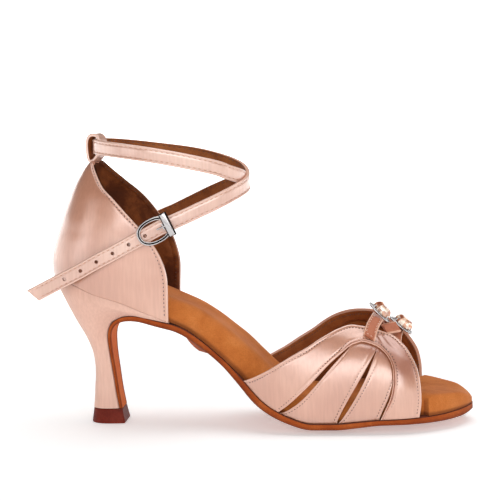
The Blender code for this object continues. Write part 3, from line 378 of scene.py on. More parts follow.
def oneStitch(length, width, height):
    # a short rounded bar of thread, modelled once
    bpy.ops.object.select_all(action="DESELECT")
    bpy.ops.mesh.primitive_uv_sphere_add(segments=6, ring_count=5, radius=0.5)
    stitch = bpy.context.object
    startEdit(stitch)
    bpy.ops.transform.rotate(value=math.pi / 2.0, orient_axis="Y", center_override=(0.0, 0.0, 0.0))
    bpy.ops.transform.resize(value=(length, width, height))
    endEdit()
    points = [vertex.co.copy() for vertex in stitch.data.vertices]
    faces = [list(polygon.vertices) for polygon in stitch.data.polygons]
    bpy.data.objects.remove(stitch)
    return points, faces


def sewRow(name, stitch, spots):
    # copies of one stitch along the spots: (point, way along, way out)
    points, faces = stitch
    allPoints = []
    allFaces = []
    for point, way, out in spots:
        ahead = (way - out * way.dot(out)).normalized()
        turn = Matrix((ahead, out.cross(ahead), out)).transposed()
        start = len(allPoints)
        allPoints += [turn @ corner + point for corner in points]
        allFaces += [[start + index for index in face] for face in faces]
    mesh = bpy.data.meshes.new(name)
    mesh.from_pydata([tuple(point) for point in allPoints], [], allFaces)
    piece = bpy.data.objects.new(name, mesh)
    bpy.context.scene.collection.objects.link(piece)
    startEdit(piece)
    bpy.ops.mesh.normals_make_consistent(inside=False)
    endEdit()
    shadeSmooth(piece, 80.0)
    return piece


def spotsAlong(points, outs, pitch, margin=0.0):
    # stitch places at an even pitch along a line, with the way along and the way out
    lengths = runLengths(points)
    count = int((lengths[-1] - margin * 2.0) / pitch)
    if count < 1:
        return []
    offset = (lengths[-1] - pitch * (count - 1)) / 2.0
    wanted = [offset + pitch * index for index in range(count)]
    places = spreadOut(points, lengths, wanted)
    ahead = spreadOut(points, lengths, [value + 0.0003 for value in wanted])
    facing = spreadOut(outs, lengths, wanted)
    return [(here, (there - here).normalized(), out.normalized())
            for here, there, out in zip(places, ahead, facing)]


def dress(piece, *finishes):
    for finish in finishes:
        piece.data.materials.append(finish)
    return piece


def finishPiece(piece, slotName, *nodes):
    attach(piece, "root")
    if nodes:
        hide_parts(*nodes)


# finishes

def screenColour(red, green, blue):
    values = [channel / 255.0 for channel in (red, green, blue)]
    return tuple(v / 12.92 if v <= 0.04045 else ((v + 0.055) / 1.055) ** 2.4 for v in values) + (1.0,)


def addNode(finish, kind, values=None, **settings):
    node = finish.node_tree.nodes.new(kind)
    for key, value in settings.items():
        setattr(node, key, value)
    for key, value in (values or {}).items():
        node.inputs[key].default_value = value
    return node


def wire(finish, source, output, target, entry):
    finish.node_tree.links.new(source.outputs[output], target.inputs[entry])


def newFinish(name, values):
    finish = bpy.data.materials.new(name)
    finish.use_nodes = True
    surface = finish.node_tree.nodes["Principled BSDF"]
    for key, value in values.items():
        surface.inputs[key].default_value = value
    return finish, surface


def objectCoords(finish, scale=(1.0, 1.0, 1.0), turn=(0.0, 0.0, 0.0)):
    coords = addNode(finish, "ShaderNodeTexCoord")
    mapping = addNode(finish, "ShaderNodeMapping", {"Scale": scale, "Rotation": turn})
    wire(finish, coords, "Object", mapping, "Vector")
    return mapping


def noiseOn(finish, mapping, scale, detail=3.0, rough=0.5, distortion=0.0):
    pattern = addNode(finish, "ShaderNodeTexNoise", {"Scale": scale, "Detail": detail, "Roughness": rough,
                                                     "Distortion": distortion})
    wire(finish, mapping, "Vector", pattern, "Vector")
    return pattern


def rampOn(finish, source, output, stops):
    ramp = addNode(finish, "ShaderNodeValToRGB")
    wire(finish, source, output, ramp, "Fac")
    while len(ramp.color_ramp.elements) < len(stops):
        ramp.color_ramp.elements.new(0.5)
    for element, (place, colour) in zip(ramp.color_ramp.elements, stops):
        element.position = place
        element.color = colour
    return ramp


def mixColours(finish, factor, first, second, mode="MIX"):
    # factor, first and second are (node, output) pairs, or second a plain colour
    mix = addNode(finish, "ShaderNodeMix", data_type="RGBA", blend_type=mode)
    for entry, given in ((0, factor), (6, first), (7, second)):
        if isinstance(given, tuple) and hasattr(given[0], "outputs"):
            finish.node_tree.links.new(given[0].outputs[given[1]], mix.inputs[entry])
        else:
            mix.inputs[entry].default_value = given
    return mix


def bumpOn(finish, surface, layers):
    # layers: (node, output, strength, distance), each on top of the one before
    previous = None
    for source, output, strength, distance in layers:
        relief = addNode(finish, "ShaderNodeBump", {"Strength": strength, "Distance": distance})
        wire(finish, source, output, relief, "Height")
        if previous:
            wire(finish, previous, "Normal", relief, "Normal")
        previous = relief
    wire(finish, previous, "Normal", surface, "Normal")


def paintedBy(finish, attribute, base, colour):
    # towards a colour where the mesh carries that attribute
    paint = addNode(finish, "ShaderNodeAttribute", attribute_name=attribute)
    return mixColours(finish, (paint, "Fac"), base, colour)


def satinFinish(name, tones, gloss):
    deep, mid, pale, edge = [screenColour(*tone) for tone in tones]
    finish, surface = newFinish(name, {"Metallic": gloss["metallic"],
                                       "Sheen Weight": gloss["sheen"], "Sheen Roughness": 0.35,
                                       "Specular IOR Level": gloss["shine"], "IOR": 1.6,
                                       "Coat Weight": gloss["coat"], "Coat Roughness": 0.24, "Coat IOR": 2.0})
    broad = noiseOn(finish, objectCoords(finish, (1.0, 1.0, 1.0), (0.3, 0.6, 0.2)), 26.0, 2.0, 0.45, 0.5)
    tone = rampOn(finish, broad, "Fac", ((0.30, deep), (0.50, mid), (0.72, pale)))
    slub = noiseOn(finish, objectCoords(finish, (900.0, 900.0, 75.0), (0.0, 0.30, 0.0)), 1.0, 3.0)
    threads = rampOn(finish, slub, "Fac", ((0.35, (0.86, 0.82, 0.80, 1.0)), (0.65, (1.0, 1.0, 1.0, 1.0))))
    woven = mixColours(finish, 0.55, (tone, "Color"), (threads, "Color"), "MULTIPLY")
    edged = paintedBy(finish, "edgeTint", (woven, 2), edge)
    # painted shade: towards a dark rose-brown where the mesh's shade attribute says so
    shaded = paintedBy(finish, "shade", (edged, 2), screenColour(152, 68, 38))
    wire(finish, shaded, 2, surface, "Base Color")
    lustre = addNode(finish, "ShaderNodeMapRange", {"From Min": 0.3, "From Max": 0.7,
                                                    "To Min": gloss["roughness"] + 0.07,
                                                    "To Max": gloss["roughness"] - 0.05})
    wire(finish, slub, "Fac", lustre, "Value")
    wire(finish, lustre, "Result", surface, "Roughness")
    weave = noiseOn(finish, objectCoords(finish, (900.0, 900.0, 5200.0), (0.0, 0.25, 0.0)), 1.0, 1.0)
    crinkle = noiseOn(finish, objectCoords(finish), 420.0, 3.0, 0.6)
    bumpOn(finish, surface, ((weave, "Fac", 0.10, 0.00010), (crinkle, "Fac", 0.10, 0.0004)))
    return finish


def leatherFinish(name, tones, grain, roughness, sheen=0.0, shine=0.2):
    deep, mid, pale, edge = [screenColour(*tone) for tone in tones]
    finish, surface = newFinish(name, {"Roughness": roughness, "Sheen Weight": sheen, "Sheen Roughness": 0.5,
                                       "Specular IOR Level": shine})
    broad = noiseOn(finish, objectCoords(finish), 70.0, 4.0, 0.6, 0.4)
    tone = rampOn(finish, broad, "Fac", ((0.30, deep), (0.50, mid), (0.72, pale)))
    nap = noiseOn(finish, objectCoords(finish), grain, 4.0, 0.65)
    speckle = rampOn(finish, nap, "Fac", ((0.34, (0.70, 0.66, 0.62, 1.0)), (0.58, (1.0, 1.0, 1.0, 1.0))))
    napped = mixColours(finish, 0.6, (tone, "Color"), (speckle, "Color"), "MULTIPLY")
    # the edge tint: a pale or dark edge tone, which on the footbed and the outsole also paints shade down
    # their sides
    edged = paintedBy(finish, "edgeTint", (napped, 2), edge)
    wire(finish, edged, 2, surface, "Base Color")
    bumpOn(finish, surface, ((nap, "Fac", 0.35, 0.0003), (broad, "Fac", 0.12, 0.0008)))
    return finish


def metalFinish(name, colour, roughness):
    finish, surface = newFinish(name, {"Metallic": 1.0, "Base Color": screenColour(*colour)})
    scuff = noiseOn(finish, objectCoords(finish), 900.0, 3.0, 0.6)
    dull = addNode(finish, "ShaderNodeMapRange", {"From Min": 0.3, "From Max": 0.7,
                                                  "To Min": roughness * 0.7, "To Max": roughness * 1.5})
    wire(finish, scuff, "Fac", dull, "Value")
    wire(finish, dull, "Result", surface, "Roughness")
    bumpOn(finish, surface, ((scuff, "Fac", 0.04, 0.0002),))
    return finish


def threadFinish(name, colour, dark):
    finish, surface = newFinish(name, {"Roughness": 0.7, "Sheen Weight": 0.3})
    twist = noiseOn(finish, objectCoords(finish), 2200.0, 2.0)
    tone = rampOn(finish, twist, "Fac", ((0.35, screenColour(*dark)), (0.6, screenColour(*colour))))
    wire(finish, tone, "Color", surface, "Base Color")
    bumpOn(finish, surface, ((twist, "Fac", 0.3, 0.0002),))
    return finish


# tones are deep, middle, pale and edge; on the footbed and the outsole the edge tone also paints shade down
# their sides
gloss = {"roughness": 0.33, "metallic": 0.14, "sheen": 0.10, "coat": 1.0, "shine": 0.90}
rimGloss = {"roughness": 0.5, "metallic": 0.0, "sheen": 0.1, "coat": 0.0, "shine": 0.4}
tabGloss = {"roughness": 0.45, "metallic": 0.1, "sheen": 0.05, "coat": 0.0, "shine": 0.2}
heelGloss = {"roughness": 0.55, "metallic": 0.0, "sheen": 0.15, "coat": 0.0, "shine": 0.5}
satin = satinFinish("rosySatin", ((198, 135, 106), (209, 147, 118), (219, 161, 133), (226, 175, 150)), gloss)
# a paler copy of the rosy satin for the ankle strap and the back loop, painted highlight
litStrapSatin = satinFinish("litStrapSatin", ((210, 158, 136), (222, 174, 152), (234, 194, 174), (228, 182, 160)),
                         gloss)
rimSatin = satinFinish("rimSatin", ((186, 126, 102), (202, 146, 122), (214, 162, 138), (212, 160, 136)),
                       rimGloss)
# a darker copy of the rosy satin for the bridge straps and their tab, painted shade
shadedTabSatin = satinFinish("shadedTabSatin", ((166, 92, 64), (180, 106, 76), (192, 120, 90), (228, 180, 154)), tabGloss)
heelSatin = satinFinish("paleHeelSatin", ((218, 172, 153), (227, 183, 164), (234, 194, 175), (230, 188, 170)),
                        heelGloss)
lining = leatherFinish("brownLining", ((124, 66, 31), (148, 84, 42), (164, 98, 52), (116, 60, 28)),
                       1400.0, 0.62)
# a darker copy of the brown lining for inside the heel cup, painted shade
shadedCupLining = leatherFinish("cupLiningPaintedShade", ((74, 34, 14), (98, 48, 20), (150, 84, 40), (66, 30, 12)),
                          1400.0, 0.65)
bedSuede = leatherFinish("tanBedSuede", ((192, 106, 44), (205, 118, 53), (216, 131, 66), (112, 54, 22)),
                         1900.0, 0.85, 0.05)
soleSuede = leatherFinish("orangeSoleSuede", ((144, 60, 18), (162, 74, 26), (180, 92, 38), (84, 34, 14)),
                          1500.0, 0.9, 0.05)
# a lighter copy of the sole suede for the faces of the heel's breast, painted light
litBreastSuede = leatherFinish("breastSuedePaintedLight", ((206, 92, 24), (224, 110, 34), (232, 124, 48),
                                                  (110, 46, 16)), 1500.0, 0.9, 0.05)
tipRubber = leatherFinish("redBrownRubber", ((96, 30, 20), (112, 38, 26), (128, 50, 36), (66, 22, 16)),
                          900.0, 0.5, 0.0, 0.1)
darkThread = threadFinish("darkThread", (84, 50, 36), (50, 28, 18))
rosyThread = threadFinish("rosyThread", (206, 150, 122), (170, 112, 86))
lightThread = threadFinish("paleThread", (246, 220, 200), (210, 168, 146))
linerThread = threadFinish("brownThread", (84, 44, 22), (50, 24, 12))
silver = metalFinish("polishedSilver", (196, 192, 192), 0.13)
# near-black metal for the sunk rings and the plate that paint shadow between metal parts
shadowMetal = metalFinish("paintedShadowMetal", (30, 24, 22), 0.45)


def crystalStops(*stops):
    return [(place, screenColour(*tone)) for place, tone in stops]


def makeCrystal():
    # the stone's own peach, each facet painted lighter or darker as painted reflection, with a mosaic of
    # painted glints over them
    finish, surface = newFinish("peachCrystal", {
        "Roughness": 0.12, "Metallic": 0.10, "Coat Weight": 0.6, "Coat Roughness": 0.04, "IOR": 1.6})
    facetShine = addNode(finish, "ShaderNodeAttribute", attribute_name="facetShine")
    mosaic = addNode(finish, "ShaderNodeTexVoronoi", {"Scale": 620.0})
    wire(finish, objectCoords(finish), "Vector", mosaic, "Vector")
    facetShineTone = rampOn(finish, facetShine, "Fac", crystalStops(
        (0.0, (146, 70, 40)), (0.35, (214, 138, 98)), (0.7, (252, 196, 154)), (1.0, (255, 240, 222))))
    spark = rampOn(finish, mosaic, "Color", crystalStops(
        (0.25, (150, 84, 56)), (0.45, (226, 160, 122)), (0.65, (255, 255, 255))))
    fire = mixColours(finish, 0.75, (facetShineTone, "Color"), (spark, "Color"), "MULTIPLY")
    wire(finish, fire, 2, surface, "Base Color")
    return finish


crystal = makeCrystal()
print("finishes made")


# the vamp: on each side an arched band over two straps

vampLook = {"bandWall": 0.0024, "bandInnerWall": 0.00095, "strapInset": 0.00105, "strapWall": 0.0015,
            "edgeRadius": 0.0005, "stitchIn": 0.0018, "pipedStitchIn": 0.0027, "stitchPitch": 0.0017,
            "rearStrapTop": 6.0, "middleSlitTop": 9.5, "frontStrapTop": 13.5, "slitFoot": 0.6825,
            "slitSag": 0.006, "slitEnd": 0.0005, "rearSlit": 0.0026, "middleSlit": 0.0029,
            "frontSlit": 0.0005, "tuckUnder": 0.004, "legShade": 0.52, "innerFolds": 0.35,
            "lastStep": 16.0, "bandRows": 240, "stitch": (0.00092, 0.00058, 0.00044),
            "stitchMargin": 0.001, "threadSink": 0.00022, "linerLift": 0.00002}
edgeColumns = (0.0, 0.00012, 0.0003, 0.0006, 0.0009, 0.0012, 0.0015, 0.0018, 0.0021, 0.0025, 0.0030, 0.0035)
# soft folds gathered under the bridge strap: start and end (along, up), depth, half width
vampCreases = ((0.762, 0.845, 0.722, 0.780, 0.00080, 0.0013), (0.778, 0.820, 0.796, 0.735, 0.00085, 0.0012),
               (0.757, 0.850, 0.690, 0.815, 0.00050, 0.0014), (0.790, 0.840, 0.838, 0.720, 0.00070, 0.0016))


def vampPoint(x, up, side, inset):
    # a place on the upper's form, up from 0 at the sole to 1 at the crest
    rise = soleAt("crest", x) * last["crestHeight"] - inset
    level = abs(up - last["widest"]) / (1.0 - last["widest"])
    reach = (1.0 - min(level, 1.0) ** last["roundness"]) ** (1.0 / last["roundness"])
    half = outlineHalf(x, side) - inset - side * last["crestShift"]
    return Vector((x, last["crestShift"] + side * half * reach, feather(x) + last["fit"] + up * rise))


def vampOut(x, up, side):
    return (vampPoint(x, up, side, -0.0005) - vampPoint(x, up, side, 0.0005)).normalized()


def bandEdge(step):
    return Vector((along(readTable(archLine, "edge", step)), readTable(archLine, "edgeUp", step)))


def bandRim(step, side):
    label = "outer" if side < 0.0 else "inner"
    return Vector((along(readTable(archLine, label, step)), readTable(archLine, label + "Up", step)))


def acrossBand(step, side):
    # the arch's edge, the outer rim, and how far apart they lie on the form
    edge = bandEdge(step)
    rim = bandRim(step, side)
    return edge, rim, (vampPoint(edge.x, edge.y, side, 0.0) - vampPoint(rim.x, rim.y, side, 0.0)).length


def creaseDepth(place, side):
    # each fold is deepest where it starts and runs out along its length
    depth = 0.0
    here = Vector((place.x, place.y * last["crestHeight"]))
    for startX, startUp, endX, endUp, deep, width in vampCreases:
        start = Vector((along(startX), startUp * last["crestHeight"]))
        run = Vector((along(endX), endUp * last["crestHeight"])) - start
        t = min(max((here - start).dot(run) / run.length_squared, 0.0), 1.0)
        away = (here - start - run * t).length
        depth += deep * (1.0 - 0.8 * t) * math.exp(-(away / width) ** 2)
    return depth if side < 0.0 else depth * vampLook["innerFolds"]


def softWave(point, seed):
    # gentle unevenness of stretched cloth
    broad = noise.noise(point * 42.0 + Vector((seed, 0.0, 0.0)))
    fine = noise.noise(point * 160.0 + Vector((0.0, seed, 0.0)))
    return 0.00022 * broad + 0.00006 * fine


def spreadColumns(width, inner):
    # distances across a strap: close together at both edges, even between them
    left = list(edgeColumns)
    span = width - 2.0 * left[-1]
    middle = [left[-1] + span * index / (inner + 1) for index in range(1, inner + 1)]
    return left + middle + [width - distance for distance in reversed(left)]


def bandRelief(fromEdge, fromRim, step):
    # rolled edges, two pipings along the arch and the troughs that the stitches lie in
    piped = smoothStep(4.8, 6.4, step) * (1.0 - smoothStep(15.0, 16.0, step))
    stitchIn = vampLook["stitchIn"] + piped * (vampLook["pipedStitchIn"] - vampLook["stitchIn"])
    height = -rollOff(fromRim, vampLook["edgeRadius"]) - rollOff(fromEdge, vampLook["edgeRadius"])
    height += 0.00008 * bump(fromRim, 0.0007, 0.0004) - 0.00016 * bump(fromRim, vampLook["stitchIn"], 0.0004)
    height += piped * (0.00055 * bump(fromEdge, 0.0004, 0.00030) + 0.00045 * bump(fromEdge, 0.0015, 0.00034)
                       - 0.00045 * bump(fromEdge, 0.0009, 0.00020))
    return height - 0.00016 * bump(fromEdge, stitchIn, 0.0004)


def bandShade(fromEdge, fromRim, step):
    # painted shade: a dark line in the trough between the two pipings, and a deeper rose over the front leg
    # inside its edges
    piped = smoothStep(4.2, 6.0, step)
    seamShade = 0.85 * piped * bump(fromEdge, 0.0009, 0.00022)
    shadedLeg = smoothStep(8.0, 9.4, step) * (1.0 - smoothStep(12.9, 14.3, step))
    inside = smoothStep(0.0006, 0.0030, fromEdge) * smoothStep(0.0008, 0.0030, fromRim)
    return max(seamShade, vampLook["legShade"] * shadedLeg * inside)


def makeBand(name, side):
    # an arched band, from the sole over the foot to the sole again
    steps = [vampLook["lastStep"] * index / 640 for index in range(641)]
    middles = []
    for step in steps:
        place = bandEdge(step).lerp(bandRim(step, side), 0.5)
        middles.append(vampPoint(place.x, place.y, side, 0.0))
    lengths = runLengths(middles)
    rows = vampLook["bandRows"]
    wanted = [lengths[-1] * index / rows for index in range(rows + 1)]
    rowSteps = spreadOut(steps, lengths, wanted)
    table = []
    for step in rowSteps:
        edge, rim, width = acrossBand(step, side)
        distances = spreadColumns(width, 9)
        line = []
        for distance in distances:
            place = edge.lerp(rim, distance / width)
            point = vampPoint(place.x, place.y, side, 0.0)
            out = vampOut(place.x, place.y, side)
            height = bandRelief(distance, width - distance, step) + softWave(point, 3.0 + side)
            height -= creaseDepth(place, side) * smoothStep(0.0, 0.0035, min(distance, width - distance))
            height *= 1.0 if place.y > 0.02 else 0.5
            edgeTint = 1.0 - smoothStep(0.0004, 0.0009, width - distance)
            edgeTint = max(edgeTint, 0.6 * (1.0 - smoothStep(0.0003, 0.0007, distance)))
            line.append((point + out * height, edgeTint, bandShade(distance, width - distance, step)))
        table.append((line, distances))
    band = addSheet(name, len(table[0][0]) - 1, rows, lambda i, j: table[j][0][i])
    dress(band, satin, lining, rimSatin)
    group = band.vertex_groups.new(name="wall")
    columns = len(table[0][0])
    for vertex in band.data.vertices:
        row, column = divmod(vertex.index, columns)
        fromEdge = table[row][1][column]
        fromRim = table[row][1][-1] - fromEdge
        share = smoothStep(0.004, 0.007, fromEdge) * (0.45 + 0.55 * smoothStep(0.0, 0.004, fromRim))
        wall = vampLook["bandInnerWall"] + share * (vampLook["bandWall"] - vampLook["bandInnerWall"])
        group.add([vertex.index], wall / vampLook["bandWall"], "REPLACE")
    closeWall(band, side, vampLook["bandWall"], group.name)
    edgeTint = band.data.attributes["edgeTint"].data
    for polygon in band.data.polygons:
        inward = max(edgeTint[index].value for index in polygon.vertices) < 0.8
        if polygon.material_index == 2 and inward:
            polygon.material_index = 1
    return band


def faceAway(piece, awayFrom):
    # turn a sheet over where its faces look the wrong way
    middle = piece.data.polygons[len(piece.data.polygons) // 2]
    if middle.normal.dot(awayFrom(middle.center)) < 0.0:
        startEdit(piece)
        bpy.ops.mesh.flip_normals()
        endEdit()


def addWall(piece, thickness):
    # the wall goes inwards, with the lining inside and the rim finish on its edge
    wall = piece.modifiers.new("wall", "SOLIDIFY")
    wall.thickness = thickness
    wall.offset = -1.0
    wall.material_offset = 1
    wall.material_offset_rim = 2
    return wall


def closeWall(piece, side, thickness, groupName=""):
    # give an open sheet its lining side and a rounded rim
    faceAway(piece, lambda centre: Vector((0.0, side, 0.0)))
    wall = addWall(piece, thickness)
    if groupName:
        wall.vertex_group = groupName
    rounding = piece.modifiers.new("rounding", "BEVEL")
    rounding.width = 0.0002
    rounding.segments = 2
    rounding.limit_method = "ANGLE"
    rounding.angle_limit = math.radians(50.0)
    applyAll(piece)
    shadeSmooth(piece, 60.0)


def slitWidth(v, width):
    return vampLook["slitEnd"] * (1.0 - v) + width * math.sin(math.pi * min(v, 1.0) ** 0.6)


def bandSideEdge(start, end, width, turn):
    def place(v):
        here = bandEdge(start + (end - start) * v)
        return Vector((here.x + slitWidth(v, width) * turn, here.y))
    return place


def middleSlitEdge(turn):
    foot = Vector((along(vampLook["slitFoot"]), 0.0))

    def place(v):
        here = foot.lerp(bandEdge(vampLook["middleSlitTop"]), v)
        here.x += vampLook["slitSag"] * last["length"] * math.sin(math.pi * v)
        here.x += turn * slitWidth(v, vampLook["middleSlit"]) / 2.0
        return here
    return place


def makeVampStrap(name, side, left, right, first, final):
    # a strap from the sole up under the band, with its two stitch lines
    def place(u, v):
        if v <= 1.0:
            spot = left(v).lerp(right(v), u)
            top = bandEdge(first + (final - first) * u) - left(1.0).lerp(right(1.0), u)
            return spot + top * v
        edge, rim, width = acrossBand(first + (final - first) * u, side)
        return edge.lerp(rim, (v - 1.0) * vampLook["tuckUnder"] / width)

    levels = [index / 60 for index in range(61)] + [1.25, 1.5, 1.75, 2.0]
    inset = vampLook["strapInset"]
    table = []
    lines = ([], [])
    for v in levels:
        across = [vampPoint(*place(index / 10, v), side, inset) for index in range(11)]
        width = runLengths(across)[-1]
        row = []
        covered = smoothStep(0.93, 1.0, v)
        for distance in spreadColumns(width, 11):
            spot = place(distance / width, v)
            point = vampPoint(spot.x, spot.y, side, inset)
            out = vampOut(spot.x, spot.y, side)
            near = min(distance, width - distance)
            height = -rollOff(near, 0.0003) - 0.00014 * bump(near, vampLook["stitchIn"], 0.0004)
            height += softWave(point, 9.0 + side) + 0.0002 * math.sin(math.pi * distance / width)
            height *= 1.0 - covered
            towardsSlit = distance / width if final < vampLook["frontStrapTop"] else 1.0 - distance / width
            # painted shade near the top of the strap, where it runs under the band, and towards the middle
            # slit
            shade = 0.55 * smoothStep(0.80, 0.99, v) * smoothStep(0.25, 0.9, towardsSlit)
            row.append((point + out * height, 0.5 * (1.0 - smoothStep(0.0002, 0.0006, near)), shade))
        table.append(row)
        if v <= 0.97:
            for line, distance in zip(lines, (vampLook["stitchIn"], width - vampLook["stitchIn"])):
                spot = place(distance / width, v)
                line.append((vampPoint(spot.x, spot.y, side, inset + vampLook["threadSink"]),
                             vampOut(spot.x, spot.y, side)))
    strap = addSheet(name, len(table[0]) - 1, len(levels) - 1, lambda i, j: table[j][i])
    dress(strap, satin, lining, lining)
    closeWall(strap, side, vampLook["strapWall"])
    return strap, lines


def bandStitchLine(side, fromEdge, firstStep, lastStep, inset):
    # points and ways out along a band at a distance from one of its edges
    points = []
    outs = []
    for index in range(321):
        step = firstStep + (lastStep - firstStep) * index / 320
        edge, rim, width = acrossBand(step, side)
        if fromEdge:
            piped = smoothStep(4.8, 6.4, step)
            distance = vampLook["stitchIn"] + piped * (vampLook["pipedStitchIn"] - vampLook["stitchIn"])
        else:
            distance = width - vampLook["stitchIn"]
        place = edge.lerp(rim, distance / width)
        points.append(vampPoint(place.x, place.y, side, inset))
        outs.append(vampOut(place.x, place.y, side))
    return points, outs


vampStitch = oneStitch(*vampLook["stitch"])


def makeVampSide(side, word, node):
    finishPiece(makeBand("vampBand" + word, side), "satin", node)
    rear, rearLines = makeVampStrap(
        "vampStrapRear" + word, side,
        bandSideEdge(0.0, vampLook["rearStrapTop"], vampLook["rearSlit"], 1.0), middleSlitEdge(-1.0),
        vampLook["rearStrapTop"], vampLook["middleSlitTop"])
    front, frontLines = makeVampStrap(
        "vampStrapFront" + word, side, middleSlitEdge(1.0),
        bandSideEdge(vampLook["lastStep"], vampLook["frontStrapTop"], vampLook["frontSlit"], -1.0),
        vampLook["middleSlitTop"], vampLook["frontStrapTop"])
    for strap in (rear, front):
        finishPiece(strap, "satin", node)
    spots = []
    for line in rearLines + frontLines:
        spots += spotsAlong([point for point, out in line], [out for point, out in line],
                            vampLook["stitchPitch"], vampLook["stitchMargin"])
    for fromEdge in (False, True):
        points, outs = bandStitchLine(side, fromEdge, 0.15, 15.85, vampLook["threadSink"])
        spots += spotsAlong(points, outs, vampLook["stitchPitch"], vampLook["stitchMargin"])
    finishPiece(dress(sewRow("vampStitches" + word, vampStitch, spots), darkThread), "satin")
    points, outs = bandStitchLine(side, False, 0.3, 15.7, vampLook["bandWall"] + vampLook["linerLift"])
    spots = spotsAlong(points, [-out for out in outs], vampLook["stitchPitch"], vampLook["stitchMargin"])
    finishPiece(dress(sewRow("vampLiningStitches" + word, vampStitch, spots), linerThread), "satin")


makeVampSide(-1.0, "Outer", "vamp_outer")
makeVampSide(1.0, "Inner", "vamp_inner")
print("vamp made")


# the counter: a hollow heel cup, open in front and above

counterLook = {"wall": 0.0020, "rows": 88, "edgeRadius": 0.0006, "stitchIn": 0.0023, "pitch": 0.0021,
               "footBlend": 0.17, "footGap": 0.00008, "turns": 70, "wideColumns": 22, "rimPiping": 0.00026,
               "stitchTrough": 0.0003, "footRoll": 0.0002, "waves": 1.4, "threadSink": 0.00024}


def cupLine(name, up):
    # the cup's back line or one of its front edges, laid flat on the middle plane
    level = last["heelHeight"] + readTable(counterLine, name + "Up", up) * last["counterHeight"]
    return Vector((along(readTable(counterLine, name, up)), 0.0, level))


def counterPoint(turn, up):
    # turn goes from -1 at the outer front edge over 0 at the back to 1 at the inner one
    side = "outer" if turn < 0.0 else "inner"
    back = cupLine("back", up)
    spot = back.lerp(cupLine(side, up), turn * turn)
    spot.y = math.copysign(seatHalf(spot.x, back.x, readTable(counterLine, "girth", up)), turn)
    if up < counterLook["footBlend"]:
        # the foot follows the seam on the heel
        share = 1.0 - up / counterLook["footBlend"]
        plain = last["heelHeight"] + (cupLine(side, 0.0).z - last["heelHeight"]) * turn * turn
        spot.z += (feather(spot.x) + counterLook["footGap"] - plain) * share
    return spot


def counterOut(turn, up):
    # the way out of the cup's wall at a place
    small = 0.01
    sideways = counterPoint(min(turn + small, 1.0), up) - counterPoint(max(turn - small, -1.0), up)
    upwards = counterPoint(turn, min(up + small, 1.0)) - counterPoint(turn, max(up - small, 0.0))
    out = sideways.cross(upwards).normalized()
    point = counterPoint(turn, up)
    centre = Vector((along(0.2), 0.0, point.z))
    return out if out.dot(point - centre) > 0.0 else -out


def halfTurns(up, sign):
    # evenly spaced turns of one half and the run of their points
    turns = [index / counterLook["turns"] for index in range(counterLook["turns"] + 1)]
    return turns, runLengths([counterPoint(sign * max(turn, 1e-5), up) for turn in turns])


def counterHalfRow(up, sign):
    # turns and distances from the front edge, from the back line to that edge
    turns, lengths = halfTurns(up, sign)
    whole = lengths[-1]
    limit = min(edgeColumns[-1], whole * 0.45)
    scale = limit / edgeColumns[-1]
    count = counterLook["wideColumns"]
    wanted = [(whole - limit) * index / count for index in range(count + 1)]
    wanted += [whole - distance * scale for distance in reversed(edgeColumns[:-1])]
    return spreadOut(turns, lengths, wanted), [whole - distance for distance in wanted]


def makeCounter():
    table = []
    stitchLines = {-1.0: [], 1.0: []}
    for row in range(counterLook["rows"] + 1):
        up = row / counterLook["rows"]
        line = []
        for sign in (-1.0, 1.0):
            turns, distances = counterHalfRow(up, sign)
            half = []
            for turn, distance in zip(turns, distances):
                signed = sign * max(turn, 1e-5)
                point = counterPoint(signed, up)
                out = counterOut(signed, up)
                foot = point.z - feather(point.x)
                top = (1.0 - up) * last["counterHeight"]
                height = -rollOff(distance, counterLook["edgeRadius"])
                height += counterLook["rimPiping"] * bump(distance, 0.0008, 0.0005)
                height -= counterLook["stitchTrough"] * bump(distance, counterLook["stitchIn"], 0.0005)
                height -= counterLook["footRoll"] * math.exp(-max(foot, 0.0) / 0.0007)
                height += softWave(point, 21.0) * counterLook["waves"] * smoothStep(0.0, 0.004, foot)
                height *= smoothStep(0.0, 0.0012, top) * 0.6 + 0.4
                edgeTint = 1.0 - smoothStep(0.0008, 0.0014, distance)
                half.append((point + out * height, edgeTint))
            line += list(reversed(half)) if sign < 0.0 else half[1:]
            if 0.02 < up < 0.965:
                turns, lengths = halfTurns(up, sign)
                turn = spreadOut(turns, lengths, [lengths[-1] - counterLook["stitchIn"]])[0]
                signed = sign * turn
                stitchLines[sign].append((counterPoint(signed, up), counterOut(signed, up)))
        table.append(line)
    cup = addSheet("heelCounter", len(table[0]) - 1, counterLook["rows"], lambda i, j: table[j][i])
    dress(cup, satin, shadedCupLining, rimSatin)
    faceAway(cup, lambda centre: centre - Vector((along(0.2), 0.0, centre.z)))
    addWall(cup, counterLook["wall"])
    applyAll(cup)
    shadeSmooth(cup, 60.0)
    return cup, stitchLines


counter, counterLines = makeCounter()
finishPiece(counter, "satin", "counter")
spots = []
linerSpots = []
for line in counterLines.values():
    outs = [out for point, out in line]
    sunk = [point - out * counterLook["threadSink"] for point, out in line]
    inside = [point - out * (counterLook["wall"] + vampLook["linerLift"]) for point, out in line]
    spots += spotsAlong(sunk, outs, counterLook["pitch"], vampLook["stitchMargin"])
    linerSpots += spotsAlong(inside, [-out for out in outs], counterLook["pitch"], vampLook["stitchMargin"])
finishPiece(dress(sewRow("counterStitches", vampStitch, spots), darkThread), "satin")
finishPiece(dress(sewRow("counterLiningStitches", vampStitch, linerSpots), linerThread), "satin")
print("counter made")


# sole, footbed and heel

soleLook = {"sheet": 0.0034, "camber": 0.0024, "overhang": 0.0004, "tipHeight": 0.0078, "tipFlare": 0.0012,
            "bed": 0.0130, "waistStart": 0.325, "vampWall": 0.0027, "vampEnd": 0.882, "pastVamp": 0.893,
            "toeRoll": 0.009, "toeEdge": 0.07, "ringPitch": 0.0021}


def soleFrame(x):
    rise = feather(x + 0.001) - feather(x - 0.001)
    return Vector((x, 0.0, feather(x))), Vector((-rise, 0.0, 0.002)).normalized()


